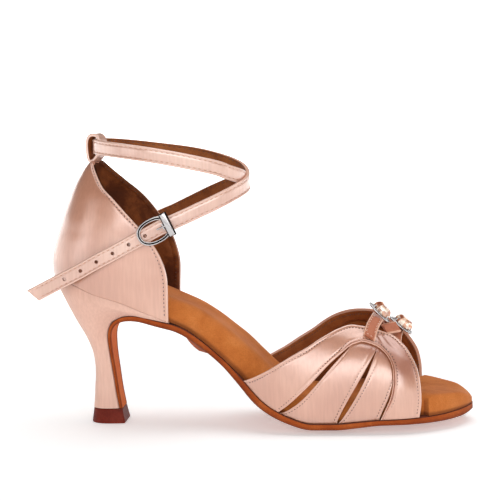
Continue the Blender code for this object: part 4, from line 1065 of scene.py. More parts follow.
def sheetRing(centre, upward, left, right, sheet, camber):
    # flat above, rounded edges, cambered below
    edge = [(-1.0, 0.06), (-1.0, 0.2), (-1.0, 0.4), (-1.0, 0.6), (-0.996, 0.75), (-0.986, 0.88),
            (-0.965, 0.97)]
    below = (-0.9, -0.75, -0.6, -0.4, -0.2, 0.0, 0.2, 0.4, 0.6, 0.75, 0.9)
    shape = [(-0.998, 0.0)] + edge + [(across, 1.0) for across in below]
    shape += [(-across, depth) for across, depth in reversed(edge)]
    shape += [(0.998, 0.0), (0.5, 0.0), (0.0, 0.0), (-0.5, 0.0)]
    ring = []
    for across, depth in shape:
        half = left if across < 0.0 else right
        sag = camber * (1.0 - smoothStep(0.5, 0.97, abs(across))) if depth == 1.0 else 0.0
        point = centre - upward * (sheet * depth + sag) + Vector((0.0, across * half, 0.0))
        point.z = max(point.z, 0.0)
        ring.append(point)
    return ring


def evenPlaces(start, end):
    # where the rings lie between the crowded ends
    places = []
    x = start
    while x < end - 0.001:
        places.append(x)
        x += soleLook["ringPitch"]
    return places


def makeOutsole():
    # from the toe back to the waist, then under the seat and down the heel's breast
    toeShares = (0.75, 0.7, 0.62, 0.55, 0.47, 0.40, 0.34, 0.28, 0.23, 0.18, 0.14, 0.10, 0.07, 0.045, 0.025,
                 0.012, 0.004, 0.001)
    places = [along(1.0) - last["toeRound"] * share * last["length"] for share in toeShares]
    places += evenPlaces(along(soleLook["waistStart"]), places[0])
    rings = []
    for x in sorted(places, reverse=True):
        centre, upward = soleFrame(x)
        halves = [outlineHalf(x, side) + soleLook["overhang"] for side in (-1.0, 1.0)]
        rings.append(sheetRing(centre, upward, *halves, soleAt("sheet", x) * soleLook["sheet"],
                               soleAt("camber", x) * soleLook["camber"]))
    rows = [dict(zip(breastLine["columns"], row)) for row in breastLine["rows"]]
    centres = [Vector((along(row["along"]), 0.0, row["height"] * last["heelHeight"])) for row in rows]
    coarse = []
    for index, row in enumerate(rows):
        way = centres[min(index + 1, len(rows) - 1)] - centres[max(index - 1, 0)]
        upward = Vector((way.z, 0.0, -way.x)).normalized()
        half = row["half"] * last["seatWidth"]
        coarse.append(sheetRing(centres[index], upward, half, half, row["sheet"] * soleLook["sheet"], 0.0))
    lowest = soleLook["tipHeight"] + last["fit"]
    coarse[-1] = [Vector((point.x, point.y, lowest)) for point in coarse[-1]]
    coarse.insert(0, rings[-1])
    lanes = [smoothPath([ring[lane] for ring in coarse], 5) for lane in range(len(coarse[0]))]
    rings += [list(ring) for ring in list(zip(*lanes))[1:]]
    count = len(rings[0])
    # edge tints: a dark line along both top corners under the bed, and the lower part of the edge darkened
    # towards the floor as painted shade
    edgeTints = [0.0] * count
    for lane in list(range(4, 9)) + list(range(17, 22)):
        edgeTints[lane] = 0.75 if lane in (6, 7, 8, 17, 18, 19) else 0.35
    edgeTints[0] = edgeTints[count - 4] = 0.8
    outsole = dress(ringLoft("outsole", rings, None, edgeTints), soleSuede, litBreastSuede)
    # the heel's breast faces take that lighter copy, painted light
    for polygon in outsole.data.polygons:
        if polygon.center.x < along(0.2) and polygon.normal.x > 0.6:
            polygon.material_index = 1
    return outsole


def bedInset(x):
    # the bed stops short of the cup's wall and of the vamp's
    counterInset = counterLook["wall"] + 2.0 * last["fit"]
    vampInset = soleLook["vampWall"] + 3.0 * last["fit"]
    fit = last["fit"]
    steps = ((0.0, counterInset), (0.30, counterInset), (0.40, fit), (0.424, fit), (0.46, vampInset),
             (soleLook["vampEnd"], vampInset), (soleLook["pastVamp"], fit), (1.0, fit))
    share = shareAlong(x)
    for (start, before), (end, after) in zip(steps, steps[1:]):
        if share < end:
            return before + smoothStep(start, end, share) * (after - before)
    return fit


def bedRing(centre, upward, left, right, thick):
    # flat below, a bulging side, a soft ridge at the rim and a dished top
    shape = ((0.0, 0.0), (0.0, 0.10), (0.0, 0.22), (0.0, 0.34), (0.0, 0.46), (0.03, 0.58), (0.09, 0.70),
             (0.18, 0.81), (0.30, 0.90), (0.44, 0.965), (0.60, 0.995), (0.80, 1.0))
    ring = []
    for sign, half in ((-1.0, left), (1.0, right)):
        part = []
        for draw, level in shape:
            reach = half - draw * min(thick, half)
            part.append(centre + upward * thick * level + Vector((0.0, sign * max(reach, 0.0), 0.0)))
        rimReach = max(half - 0.80 * min(thick, half), 0.0)
        for share, level in ((0.75, 0.985), (0.5, 0.968), (0.25, 0.957)):
            part.append(centre + upward * thick * level + Vector((0.0, sign * rimReach * share, 0.0)))
        ring += part if sign < 0.0 else [centre + upward * thick * 0.952] + list(reversed(part))
    under = ((0.5, right), (0.0, left), (-0.5, left))
    return ring + [centre + Vector((0.0, share * half, 0.0)) for share, half in under]


def makeFootbed():
    start = -last["setback"] + counterLook["wall"] + 2.0 * last["fit"]
    end = along(1.0) - last["fit"]
    heelShares = (0.001, 0.004, 0.012, 0.025, 0.045, 0.07, 0.10, 0.14, 0.18, 0.24, 0.30, 0.37, 0.45, 0.55,
                  0.65, 0.75, 0.85)
    toeShares = (0.66, 0.60, 0.54, 0.48, 0.42, 0.36, 0.30, 0.25, 0.20, 0.16, 0.12, 0.09, 0.065, 0.045, 0.026,
                 0.012, 0.004, 0.001)
    heelPlaces = [start + last["heelRound"] * last["length"] * share for share in heelShares]
    toePlaces = [end - last["toeRound"] * last["length"] * share for share in toeShares]
    places = heelPlaces + toePlaces + evenPlaces(max(heelPlaces) + 0.002, toePlaces[0])
    rings = []
    for x in sorted(places):
        centre, upward = soleFrame(x)
        inset = bedInset(x)
        rolled = roundEnd((end - x) / soleLook["toeRoll"] + soleLook["toeEdge"], 2.0)
        rings.append(bedRing(centre + upward * last["fit"], upward, outlineHalf(x, -1.0, inset),
                             outlineHalf(x, 1.0, inset), soleAt("bed", x) * soleLook["bed"] * rolled))
    # edge tints: a dark line along the foot of each side, where the bed sits on the sole, and the side above
    # darkened towards it as painted shade
    edgeTints = [0.0] * len(rings[0])
    for lane in range(8):
        edgeTints[lane] = edgeTints[30 - lane] = 0.75 if lane < 2 else 0.22 * (1.0 - lane / 9.0)
    return ringLoft("footbed", rings, None, edgeTints, angle=60.0)


heelLook = {"widest": 0.62, "gather": 1.5, "frontEdge": 0.0006, "unevenness": 0.00012, "gatherRibs": 0.00014}


def heelRing(level, gap):
    # a D-shaped section: round behind, drawn in towards the flat front face
    row = dict(zip(heelLine["columns"], heelLine["rows"][level]))
    back = Vector((along(row["back"]), 0.0, row["backUp"] * last["heelHeight"]))
    front = Vector((along(row["front"]) - gap, 0.0, row["frontUp"] * last["heelHeight"] + gap))
    shares = (1.0, 0.97, 0.93, 0.86, 0.79, 0.72, 0.65, 0.58, 0.51, 0.44, 0.37, 0.31, 0.25, 0.20, 0.15, 0.11,
              0.075, 0.045, 0.025, 0.01, 0.002)
    places = []
    for share in shares:
        spot = back.lerp(front, share)
        if level == len(heelLine["rows"]) - 1:
            spot.z = feather(spot.x)
            half = seatHalf(spot.x, -last["setback"], 1.0)
        else:
            forward = max(0.0, (share - heelLook["widest"]) / (1.0 - heelLook["widest"]))
            half = (roundEnd(share / heelLook["widest"], last["heelPower"]) * row["half"]
                    - forward ** heelLook["gather"] * (row["half"] - row["breast"])) * last["seatWidth"]
            half -= heelLook["frontEdge"] * smoothStep(0.965, 1.0, share)
        places.append((spot, half))
    ring = [spot - Vector((0.0, half, 0.0)) for spot, half in places]
    return ring + [spot + Vector((0.0, half, 0.0)) for spot, half in reversed(places)]


def makeHeel():
    coarse = [heelRing(level, last["fit"]) for level in range(len(heelLine["rows"]))]
    lowest = soleLook["tipHeight"] + last["fit"]
    coarse[0] = [Vector((point.x, point.y, lowest)) for point in coarse[0]]
    lanes = [smoothPath([ring[lane] for ring in coarse], 8) for lane in range(len(coarse[0]))]
    rings = [list(ring) for ring in zip(*lanes)]
    for ring in rings[1:-1]:
        middle = sum(ring, Vector()) / len(ring)
        for index, point in enumerate(ring):
            out = Vector((point.x - middle.x, point.y, 0.0)).normalized()
            low = 1.0 - smoothStep(0.010, 0.030, point.z)
            ribs = noise.noise(Vector((point.x * 160.0, point.y * 160.0, point.z * 700.0)))
            height = heelLook["unevenness"] * noise.noise(point * 120.0) + low * heelLook["gatherRibs"] * ribs
            ring[index] = point + out * height
    return ringLoft("heelBlock", rings, angle=50.0)


def makeHeelTip():
    base = heelRing(0, 0.0)
    middle = sum(point.x for point in base) / len(base)
    flap = breastLine["rows"][-1][4] * soleLook["sheet"]
    front = max(point.x for point in base)
    back = min(point.x for point in base)
    rings = []
    flare = ((1.0, -0.25), (0.985, -0.08), (0.95, 0.0), (0.75, 0.22), (0.55, 0.45), (0.3, 0.75), (0.12, 0.96),
             (0.06, 1.0), (0.02, 0.94), (0.0, 0.8))
    for level, grow in flare:
        ring = []
        for point in base:
            push = flap * max(0.0, (point.x - middle) / (front - middle))
            spread = 1.0 + grow * soleLook["tipFlare"] * 2.0 / (front - back)
            ring.append(Vector((middle + (point.x - middle) * spread + push, point.y * spread,
                                level * soleLook["tipHeight"])))
        rings.append(ring)
    return ringLoft("heelTip", rings, angle=35.0)


finishPiece(makeOutsole(), "sole_suede", "outsole")
finishPiece(dress(makeFootbed(), bedSuede), "bed_suede", "insole")
finishPiece(dress(makeHeel(), heelSatin), "pale_satin", "heel")
finishPiece(dress(makeHeelTip(), tipRubber), "tip_rubber", "heel_tip")
print("sole, footbed and heel made")


# straps: the long ankle strap, the back loop and the bridge straps

strapLook = {"width": 0.0078, "thickness": 0.0020, "pitch": 0.0029, "stitchIn": 0.0014, "spacing": 0.0011,
             "centre": 0.30, "reach": 0.185, "freeEnd": 31, "buckleRow": 33, "buckleShift": 0.25,
             "holeOffset": 0.0064, "holePitch": 0.0098, "holes": 6, "holeSize": 0.0020, "rodDepth": 0.008,
             "endSlant": 0.42, "stitch": (0.0017, 0.00042, 0.00030), "stitchMargin": 0.002,
             "outsideLift": 0.00084, "insideLift": -0.00088}
ankleSpots = [Vector((along(share), across * last["seatWidth"],
                      last["heelHeight"] + up * last["counterHeight"])) for share, across, up in anklePath]


def ribbonSection(width, thickness, edge, sewn):
    # (across, height) round a strap: outer face from one edge to the other, then back inside
    half = width / 2.0
    steps = (0.0, 0.00008, 0.00025, 0.0005, 0.0008, 0.0011, 0.0014, 0.0017, 0.0021, 0.0027)
    spread = [-half + step for step in steps] + [0.0] + [half - step for step in reversed(steps)]
    outer = []
    inner = []
    for across in spread:
        near = half - abs(across)
        fall = rollOff(near, edge)
        relief = sewn * (0.00012 * bump(near, 0.0006, 0.0004) - 0.00022 * bump(near, 0.0014, 0.0004))
        outer.append((across, thickness / 2.0 - fall + relief))
        inner.append((across, -thickness / 2.0 + fall - relief * 0.7))
    return outer + list(reversed(inner)), len(outer)


def ribbonPiece(name, points, faces, width, thickness, spacing, sewn=1.0, closed=False, edge=0.0006, wave=0.0,
                slant=0.0, startSlant=0.0):
    # a strap of rounded section along a line, its outer side towards each given way
    section, outerCount = ribbonSection(width, thickness, edge, sewn)
    lengths = runLengths(points)
    count = max(int(lengths[-1] / spacing), 4)
    wanted = [lengths[-1] * index / count for index in range(count + (0 if closed else 1))]
    places = spreadOut(points, lengths, wanted)
    facing = spreadOut(faces, lengths, wanted)
    rings = []
    frames = []
    total = len(places)
    for index, place in enumerate(places):
        after = places[(index + 1) % total] if closed else places[min(index + 1, total - 1)]
        before = places[index - 1] if closed else places[max(index - 1, 0)]
        way = (after - before).normalized()
        face = (facing[index] - way * facing[index].dot(way)).normalized()
        rise = way.cross(face)
        frames.append((place, way, face, rise))
        lift = wave * noise.noise(place * 90.0)
        skew = slant * smoothStep(total - 9.0, total - 1.0, float(index))
        skew += startSlant * (1.0 - smoothStep(0.0, 8.0, float(index)))
        rings.append([place + rise * across + face * (height + lift) + way * skew * across
                      for across, height in section])
    # the outer face, the lining inside and the rim finish on both edges
    lanes = len(section)
    slots = [1 if outerCount <= lane < lanes - 1 else 0 for lane in range(lanes)]
    edgeTints = [1.0 - smoothStep(0.0004, 0.0009, width / 2.0 - abs(across)) for across, height in section]
    for lane in (outerCount - 1, outerCount, outerCount + 1, lanes - 3, lanes - 2, lanes - 1):
        slots[lane] = 2
    return ringLoft(name, rings, slots, edgeTints, ringClosed=closed, angle=55.0), frames


def strapStitches(frames, width, stitchIn, lift, outward):
    # two rows of stitch places on one side of a strap
    rows = []
    for sign in (-1.0, 1.0):
        across = sign * (width / 2.0 - stitchIn)
        points = [place + rise * across + face * lift for place, way, face, rise in frames]
        outs = [face * outward for place, way, face, rise in frames]
        rows.append((points, outs))
    return rows


def ankleFacing(index, point):
    # away from the ankle, as on an oval round it, and straight outwards at the free end
    if index >= strapLook["freeEnd"]:
        return Vector((0.0, -1.0, 0.0))
    reach = strapLook["reach"] * last["length"]
    half = last["seatWidth"] / 2.0
    ahead = point.x - along(strapLook["centre"])
    return Vector((ahead / reach ** 2, point.y / half ** 2, 0.0)).normalized()


def bucklePlace():
    # where the buckle sits on the strap, and the strap's way there
    before = ankleSpots[strapLook["buckleRow"] + 1]
    here = ankleSpots[strapLook["buckleRow"]]
    way = ankleSpots[strapLook["buckleRow"] - 1] - before
    way.y = 0.0
    return here.lerp(before, strapLook["buckleShift"]), way.normalized()


def freeEndSpot(distance):
    # a place that far from the buckle, along the strap towards its free end
    here, way = bucklePlace()
    left = distance
    for point in ankleSpots[strapLook["buckleRow"] + 1:]:
        span = (point - here).length
        if left <= span:
            return here.lerp(point, left / span)
        left -= span
        here = point
    return here


def punchHoles(strap):
    # round holes through the free end, cut with short rods
    rods = []
    for index in range(strapLook["holes"]):
        spot = freeEndSpot(strapLook["holeOffset"] + strapLook["holePitch"] * index)
        bpy.ops.object.select_all(action="DESELECT")
        bpy.ops.mesh.primitive_cylinder_add(vertices=20, radius=strapLook["holeSize"] / 2.0,
                                            depth=strapLook["rodDepth"], location=spot,
                                            rotation=(math.pi / 2.0, 0.0, 0.0))
        rod = dress(bpy.context.object, litStrapSatin, lining, rimSatin)
        for polygon in rod.data.polygons:
            polygon.material_index = 1
        rods.append(rod)
        hole = strap.modifiers.new("hole", "BOOLEAN")
        hole.operation = "DIFFERENCE"
        hole.solver = "EXACT"
        hole.object = rod
    applyAll(strap)
    for rod in rods:
        bpy.data.objects.remove(rod)
    shadeSmooth(strap, 50.0)


fineAnkle = smoothPath(ankleSpots, 12)
fineFacing = smoothPath([ankleFacing(index, point) for index, point in enumerate(ankleSpots)], 12)
ankleStrap, ankleFrames = ribbonPiece("ankleStrap", fineAnkle, fineFacing, strapLook["width"],
                                      strapLook["thickness"], strapLook["spacing"],
                                      slant=strapLook["endSlant"])
punchHoles(dress(ankleStrap, litStrapSatin, lining, rimSatin))
finishPiece(ankleStrap, "satin", "ankle_strap")
strapStitch = oneStitch(*strapLook["stitch"])
for word, turn, thread in (("Outside", 1.0, rosyThread), ("Inside", -1.0, linerThread)):
    spots = []
    for points, outs in strapStitches(ankleFrames, strapLook["width"], strapLook["stitchIn"],
                                      strapLook[word.lower() + "Lift"], turn):
        spots += spotsAlong(points, outs, strapLook["pitch"], strapLook["stitchMargin"])
    finishPiece(dress(sewRow("ankleStitches" + word, strapStitch, spots), thread), "satin")


def ovalPoints(centre, longWay, wideWay, length, width, count, power=2.3):
    # an oval a little fuller than an ellipse
    points = []
    for index in range(count):
        angle = 2.0 * math.pi * index / count
        ahead = math.copysign(abs(math.cos(angle)) ** (2.0 / power), math.cos(angle)) * length / 2.0
        aside = math.copysign(abs(math.sin(angle)) ** (2.0 / power), math.sin(angle)) * width / 2.0
        points.append(centre + longWay * ahead + wideWay * aside)
    return points


loopLook = {"width": 0.0075, "thickness": 0.0016, "depth": 0.0096, "height": 0.0144, "place": 0.1105,
            "footShift": -0.0022, "footDrop": 0.0016, "footPinch": 0.45, "turn": 21.0, "fullness": 2.6}
loopFloor = counterPoint(1e-5, 1.0).z + last["fit"]
loopCentre = Vector((along(loopLook["place"]), 0.0, loopFloor + loopLook["height"] / 2.0))
loopLine = ovalPoints(loopCentre, Vector((1.0, 0.0, 0.0)), Vector((0.0, 0.0, 1.0)),
                      loopLook["depth"] - loopLook["thickness"], loopLook["height"] - loopLook["thickness"],
                      96, loopLook["fullness"])
for point in loopLine:
    low = max(loopCentre.z - point.z, 0.0) / loopLook["height"] * 2.0
    point.x += (loopLook["footShift"] - (point.x - loopCentre.x) * loopLook["footPinch"]) * low ** 2
    point.z -= loopLook["footDrop"] * low ** 2
loopLine.append(loopLine[0].copy())
loopFacing = [(point - loopCentre).normalized() for point in loopLine]
backLoop = ribbonPiece("backLoop", loopLine, loopFacing, loopLook["width"], loopLook["thickness"],
                       0.0006, sewn=0.6, closed=True, edge=0.0005)[0]
backLoop.data.transform(Matrix.Translation(loopCentre) @ Matrix.Rotation(
    -math.radians(loopLook["turn"]), 4, "Z") @ Matrix.Translation(-loopCentre))
finishPiece(dress(backLoop, litStrapSatin, lining, litStrapSatin), "satin", "back_loop")

bridgeLook = {"width": 0.0073, "thickness": 0.0014, "wall": 0.0027, "rearWidth": 0.0073 * 0.93,
              "stitch": (0.0013, 0.00038, 0.00028), "stitchIn": 0.0012, "stitchLift": 0.00062,
              "pitch": 0.0021, "endSlant": 0.35, "tabWidth": 0.0073 * 0.95}


def crownHeight(x, y):
    # the top of the vamp's form, also where it is open
    side = 1.0 if y > last["crestShift"] else -1.0
    half = outlineHalf(x, side) - side * last["crestShift"]
    reach = min(abs(y - last["crestShift"]) / half, 1.0)
    level = (1.0 - reach ** last["roundness"]) ** (1.0 / last["roundness"])
    return feather(x) + last["fit"] + (last["widest"] + (1.0 - last["widest"]) * level) * (
        soleAt("crest", x) * last["crestHeight"])


def bridgeSpot(row):
    # over goes from 0, inside the band's wall, to 1, on top of it
    share, across, over = row
    x = along(share)
    y = across * last["ballWidth"]
    slopeX = (crownHeight(x + 0.001, y) - crownHeight(x - 0.001, y)) / 0.002
    slopeY = (crownHeight(x, y + 0.001) - crownHeight(x, y - 0.001)) / 0.002
    out = Vector((-slopeX, -slopeY, 1.0)).normalized()
    above = last["fit"] * 1.5 + bridgeLook["thickness"] / 2.0
    below = -(bridgeLook["wall"] + above)
    return Vector((x, y, crownHeight(x, y))) + out * (below + (above - below) * over), out


def makeBridge(word, width, sewn, slant):
    spotsThere = [bridgeSpot(row) for row in bridgePaths[word]]
    line = smoothPath([spot for spot, out in spotsThere], 12)
    facing = smoothPath([out for spot, out in spotsThere], 12)
    strap, frames = ribbonPiece("bridgeStrap" + word.title(), line, facing, width, bridgeLook["thickness"],
                                0.0008, sewn=sewn, edge=0.0005, startSlant=slant)
    finishPiece(dress(strap, shadedTabSatin, lining, rimSatin), "satin", "bridge_strap_" + word)
    return frames


def sewBridge(frames):
    # two rows along the rear strap and one across its slanted end
    spots = []
    for points, outs in strapStitches(frames[2:], bridgeLook["rearWidth"], bridgeLook["stitchIn"],
                                      bridgeLook["stitchLift"], 1.0):
        spots += spotsAlong(points, outs, bridgeLook["pitch"], 0.0008)
    place, way, face, rise = frames[2]
    endPoints = [place + rise * across - way * (across * bridgeLook["endSlant"] + 0.0004)
                 + face * bridgeLook["stitchLift"] for across in (-0.0022, -0.0011, 0.0, 0.0011, 0.0022)]
    spots += spotsAlong(endPoints, [face] * 5, bridgeLook["pitch"])
    bridgeStitch = oneStitch(*bridgeLook["stitch"])
    finishPiece(dress(sewRow("bridgeStitches", bridgeStitch, spots), lightThread), "satin")


sewBridge(makeBridge("rear", bridgeLook["rearWidth"], 1.0, -bridgeLook["endSlant"]))
makeBridge("front", bridgeLook["width"], 0.4, 0.0)

# the short end that lies back over the front strap
tabSpot, tabOut = bridgeSpot(bridgePaths["front"][3])
tabStart = tabSpot + tabOut * (bridgeLook["thickness"] + 10.0 * last["fit"]) + Vector((-0.0010, 0.0004, 0.0))
tabEnd = tabStart + Vector((-0.0070, -0.0050, -0.0004))
tabLine = [tabStart.lerp(tabEnd, index / 12) for index in range(13)]
tabFacing = [Vector((0.10, -0.72, 0.69))] * 13
frontTab = ribbonPiece("bridgeTab", tabLine, tabFacing, bridgeLook["tabWidth"], bridgeLook["thickness"],
                       0.0006, sewn=0.3, edge=0.0005, wave=0.0003)[0]
finishPiece(dress(frontTab, shadedTabSatin, lining, rimSatin), "satin", "bridge_strap_tab")
print("straps made")


# metal: buckle, rings and stones

buckleLook = {"length": 0.0205, "height": 0.0137, "wire": 0.0017, "barLength": 0.0128, "barWidth": 0.0032,
              "barThickness": 0.0016, "prong": 0.0013, "shorter": 0.0013, "ovalPoints": 72}
buckleSpot, buckleWay = bucklePlace()
buckleAcross = Vector((-buckleWay.z, 0.0, buckleWay.x))
outward = Vector((0.0, -1.0, 0.0))
buckleLift = strapLook["thickness"] / 2.0 + 2.0 * last["fit"] + buckleLook["wire"] / 2.0
buckleCentre = buckleSpot + outward * buckleLift


def joinPieces(name, pieces):
    bpy.ops.object.select_all(action="DESELECT")
    for piece in pieces:
        piece.select_set(True)
    bpy.context.view_layer.objects.active = pieces[0]
    bpy.ops.object.join()
    pieces[0].name = name
    return pieces[0]


def placedBox(name, size, centre, xWay, yWay, zWay, rounding):
    bpy.ops.object.select_all(action="DESELECT")
    bpy.ops.mesh.primitive_cube_add(size=1.0)
    box = bpy.context.object
    startEdit(box)
    bpy.ops.transform.resize(value=size)
    endEdit()
    edge = box.modifiers.new("rounding", "BEVEL")
    edge.width = rounding
    edge.segments = 3
    applyAll(box)
    turn = Matrix((xWay, yWay, zWay)).transposed().to_4x4()
    turn.translation = centre
    box.data.transform(turn)
    box.name = name
    shadeSmooth(box, 35.0)
    return box


def buckleOval(name, lift, narrower, diameter):
    centre = buckleCentre - buckleWay * buckleLook["shorter"] / 2.0 + outward * lift
    length = buckleLook["length"] - buckleLook["shorter"] - narrower
    oval = ovalPoints(centre, buckleWay, buckleAcross, length, buckleLook["height"] - narrower,
                      buckleLook["ovalPoints"])
    return tubeAlong(name, oval, diameter, True)


# two bright rims, with a dark ring sunk between them that paints the shadow and dark reflection there
shadowRing = buckleOval("buckleShadowRing", -0.0001, 0.00185, 0.0009)
finishPiece(dress(shadowRing, shadowMetal), "silver")
rims = [buckleOval("buckleOuterRim", 0.0, 0.0008, 0.0008),
        buckleOval("buckleInnerRim", 0.0001, 0.0031, 0.0006)]
finishPiece(dress(joinPieces("buckleFrame", rims), silver), "silver", "buckle_frame")
barCentre = buckleCentre + buckleWay * (buckleLook["length"] * 0.36) + outward * (
    buckleLook["wire"] / 2.0 + last["fit"] + buckleLook["barThickness"] / 2.0)
bar = placedBox("buckleBar", (buckleLook["barWidth"], buckleLook["barLength"], buckleLook["barThickness"]),
                barCentre, buckleWay, buckleAcross, outward, 0.0006)
finishPiece(dress(bar, silver), "silver", "buckle_bar")
# a dark plate just larger than the bar, under it, paints the shadow round the bar
barShadowSize = (buckleLook["barWidth"] + 0.0011, buckleLook["barLength"] + 0.0004,
                 buckleLook["barThickness"] * 0.4)
barShadowCentre = barCentre - outward * buckleLook["barThickness"] * 0.35
barShadow = placedBox("buckleBarShadow", barShadowSize, barShadowCentre, buckleWay, buckleAcross, outward,
                      0.0002)
finishPiece(dress(barShadow, shadowMetal), "silver")
root = barCentre - buckleWay * (buckleLook["barWidth"] / 2.0 + buckleLook["prong"] / 2.0 + last["fit"])
drop = strapLook["thickness"] * 0.1
prongSpots = [root - buckleWay * back - outward * drop * dip
              for back, dip in ((-0.0012, 0.0), (0.0004, 0.0), (0.0022, 1.0), (0.0036, 3.0))]
prong = tubeAlong("prongPin", smoothPath(prongSpots, 4), 0.0009)
crossSpots = [root + buckleAcross * across for across in (-0.0016, -0.0008, 0.0, 0.0008, 0.0016)]
crossPin = tubeAlong("prongCross", crossSpots, 0.0008)
finishPiece(dress(joinPieces("bucklePin", [prong, crossPin]), silver), "silver", "buckle_prong")

jewelLook = {"ringLength": 0.0150, "ringWidth": 0.0106, "wire": 0.0012, "seat": 0.0010,
             "stoneLength": 0.0102, "stoneWidth": 0.0080, "stoneHeight": 0.0046, "seatShare": 0.92,
             "arm": 0.0009, "claw": 0.0007, "ovalPoints": 56}
stoneCorners = ((1.0, -0.5), (1.0, 0.5), (0.6, 1.0), (-0.6, 1.0), (-1.0, 0.5), (-1.0, -0.5), (-0.6, -1.0),
                (0.6, -1.0))
facetShines = (0.95, 0.35, 0.7, 0.15, 0.85, 0.5, 0.25, 0.75)


def nearestCorner(angle):
    return min(stoneCorners, key=lambda corner: abs(math.remainder(
        math.atan2(corner[1], corner[0]) - angle, 2.0 * math.pi)))


def makeStone(name):
    # an oblong step-cut stone, shaped up from an eight-sided prism
    bpy.ops.object.select_all(action="DESELECT")
    bpy.ops.mesh.primitive_cylinder_add(vertices=8, radius=1.0, depth=0.24)
    stone = bpy.context.object
    stone.name = name
    for vertex in stone.data.vertices:
        vertex.co.x, vertex.co.y = nearestCorner(math.atan2(vertex.co.y, vertex.co.x))
    startEdit(stone)
    endEdit()
    # steps above and below: how far each rises and how much it draws in
    for up, steps in ((1.0, ((0.18, 0.88), (0.16, 0.82), (0.08, 0.80))), (-1.0, ((0.10, 0.90),))):
        for rise, shrink in steps:
            level = max(vertex.co.z * up for vertex in stone.data.vertices)
            for polygon in stone.data.polygons:
                polygon.select = polygon.center.z * up > level - 1e-4 and polygon.normal.z * up > 0.9
            pickOnly(stone)
            bpy.ops.object.mode_set(mode="EDIT")
            bpy.ops.mesh.select_mode(type="FACE")
            bpy.ops.mesh.extrude_region_move(TRANSFORM_OT_translate={"value": (0.0, 0.0, rise * up)})
            bpy.ops.transform.resize(value=(shrink, shrink, 1.0), center_override=(0.0, 0.0, 0.0))
            endEdit()
    startEdit(stone)
    bpy.ops.mesh.normals_make_consistent(inside=False)
    endEdit()
    # painted reflection: each facet gets its own tone, and the facets facing the front the brightest, a
    # painted highlight
    facetShine = stone.data.attributes.new("facetShine", "FLOAT", "FACE")
    for polygon in stone.data.polygons:
        facetShine.data[polygon.index].value = facetShines[(polygon.index * 3) % 8]
        if polygon.center.y < -0.1 and polygon.normal.y < -0.6:
            facetShine.data[polygon.index].value = 1.0
    return stone


def makeJewel(word, row, tilt, lift):
    # a ring with its seat, arm and four claws, and the stone in it
    spot = bridgeSpot(row)[0]
    longWay = Vector((math.cos(tilt), 0.0, -math.sin(tilt)))
    wideWay = Vector((0.0, 1.0, 0.10)).normalized()
    up = longWay.cross(wideWay).normalized()
    wideWay = up.cross(longWay)
    base = spot + up * (bridgeLook["thickness"] / 2.0 + last["fit"] + lift)
    centre = base + up * jewelLook["wire"] / 2.0

    def ringOval(name, raised, narrower, diameter):
        oval = ovalPoints(centre + up * raised, longWay, wideWay, jewelLook["ringLength"] - narrower,
                          jewelLook["ringWidth"] - narrower, jewelLook["ovalPoints"])
        return tubeAlong(name, oval, diameter, True)

    outer = ringOval("ringOuter", 0.0, 0.0010, 0.0010)
    inner = ringOval("ringInner", 0.0001, 0.0030, 0.0008)
    share = jewelLook["seatShare"]
    seatSize = (jewelLook["stoneLength"] * share, jewelLook["stoneWidth"] * share, jewelLook["seat"])
    seatCentre = base + up * (jewelLook["wire"] * 0.25 + jewelLook["seat"] / 2.0)
    seat = placedBox("seat", seatSize, seatCentre, longWay, wideWay, up, 0.0003)
    reach = jewelLook["ringLength"] / 2.0 - 0.0012
    arm = tubeAlong("arm", [base + up * 0.0007 + longWay * reach * end for end in (-1.0, 0.0, 1.0)],
                    jewelLook["arm"])
    # a dark ring sunk between the two wires paints the shadow and dark reflection there
    shadowRing = ringOval("jewelShadowRing" + word.title(), -0.0002, 0.0020, 0.0008)
    finishPiece(dress(shadowRing, shadowMetal), "silver")
    pieces = [outer, inner, seat, arm]
    foot = base + up * (jewelLook["wire"] * 0.25 + jewelLook["seat"] + last["fit"] * 0.3)
    for ahead, aside in ((0.88, 0.84), (-0.88, 0.84), (0.88, -0.84), (-0.88, -0.84)):
        corner = foot + longWay * ahead * jewelLook["stoneLength"] / 2.0 + wideWay * aside * (
            jewelLook["stoneWidth"] / 2.0)
        tip = corner + up * 0.0016 - (longWay * ahead + wideWay * aside) * 0.0004
        pieces.append(tubeAlong("claw", [corner - up * 0.0008, corner + up * 0.0006, tip], jewelLook["claw"]))
    ring = joinPieces("jewelRing" + word.title(), pieces)
    finishPiece(dress(ring, silver), "silver", "crystal_ring_" + word)
    stone = makeStone("stone" + word.title())
    place = Matrix((longWay * jewelLook["stoneLength"] / 2.0, wideWay * jewelLook["stoneWidth"] / 2.0,
                    up * jewelLook["stoneHeight"] * 1.25)).transposed().to_4x4()
    place.translation = foot + up * jewelLook["stoneHeight"] * 0.26 - wideWay * 0.0003 + longWay * 0.0002
    stone.data.transform(place)
    finishPiece(dress(stone, crystal), "crystal", "crystal_" + word)


makeJewel("rear", (0.7715, -0.100, 0.35), math.radians(46.0), 0.0024)
makeJewel("front", (0.8310, -0.020, 0.30), math.radians(39.0), 0.0006)
print("metal and stones made")


# floor, light and camera

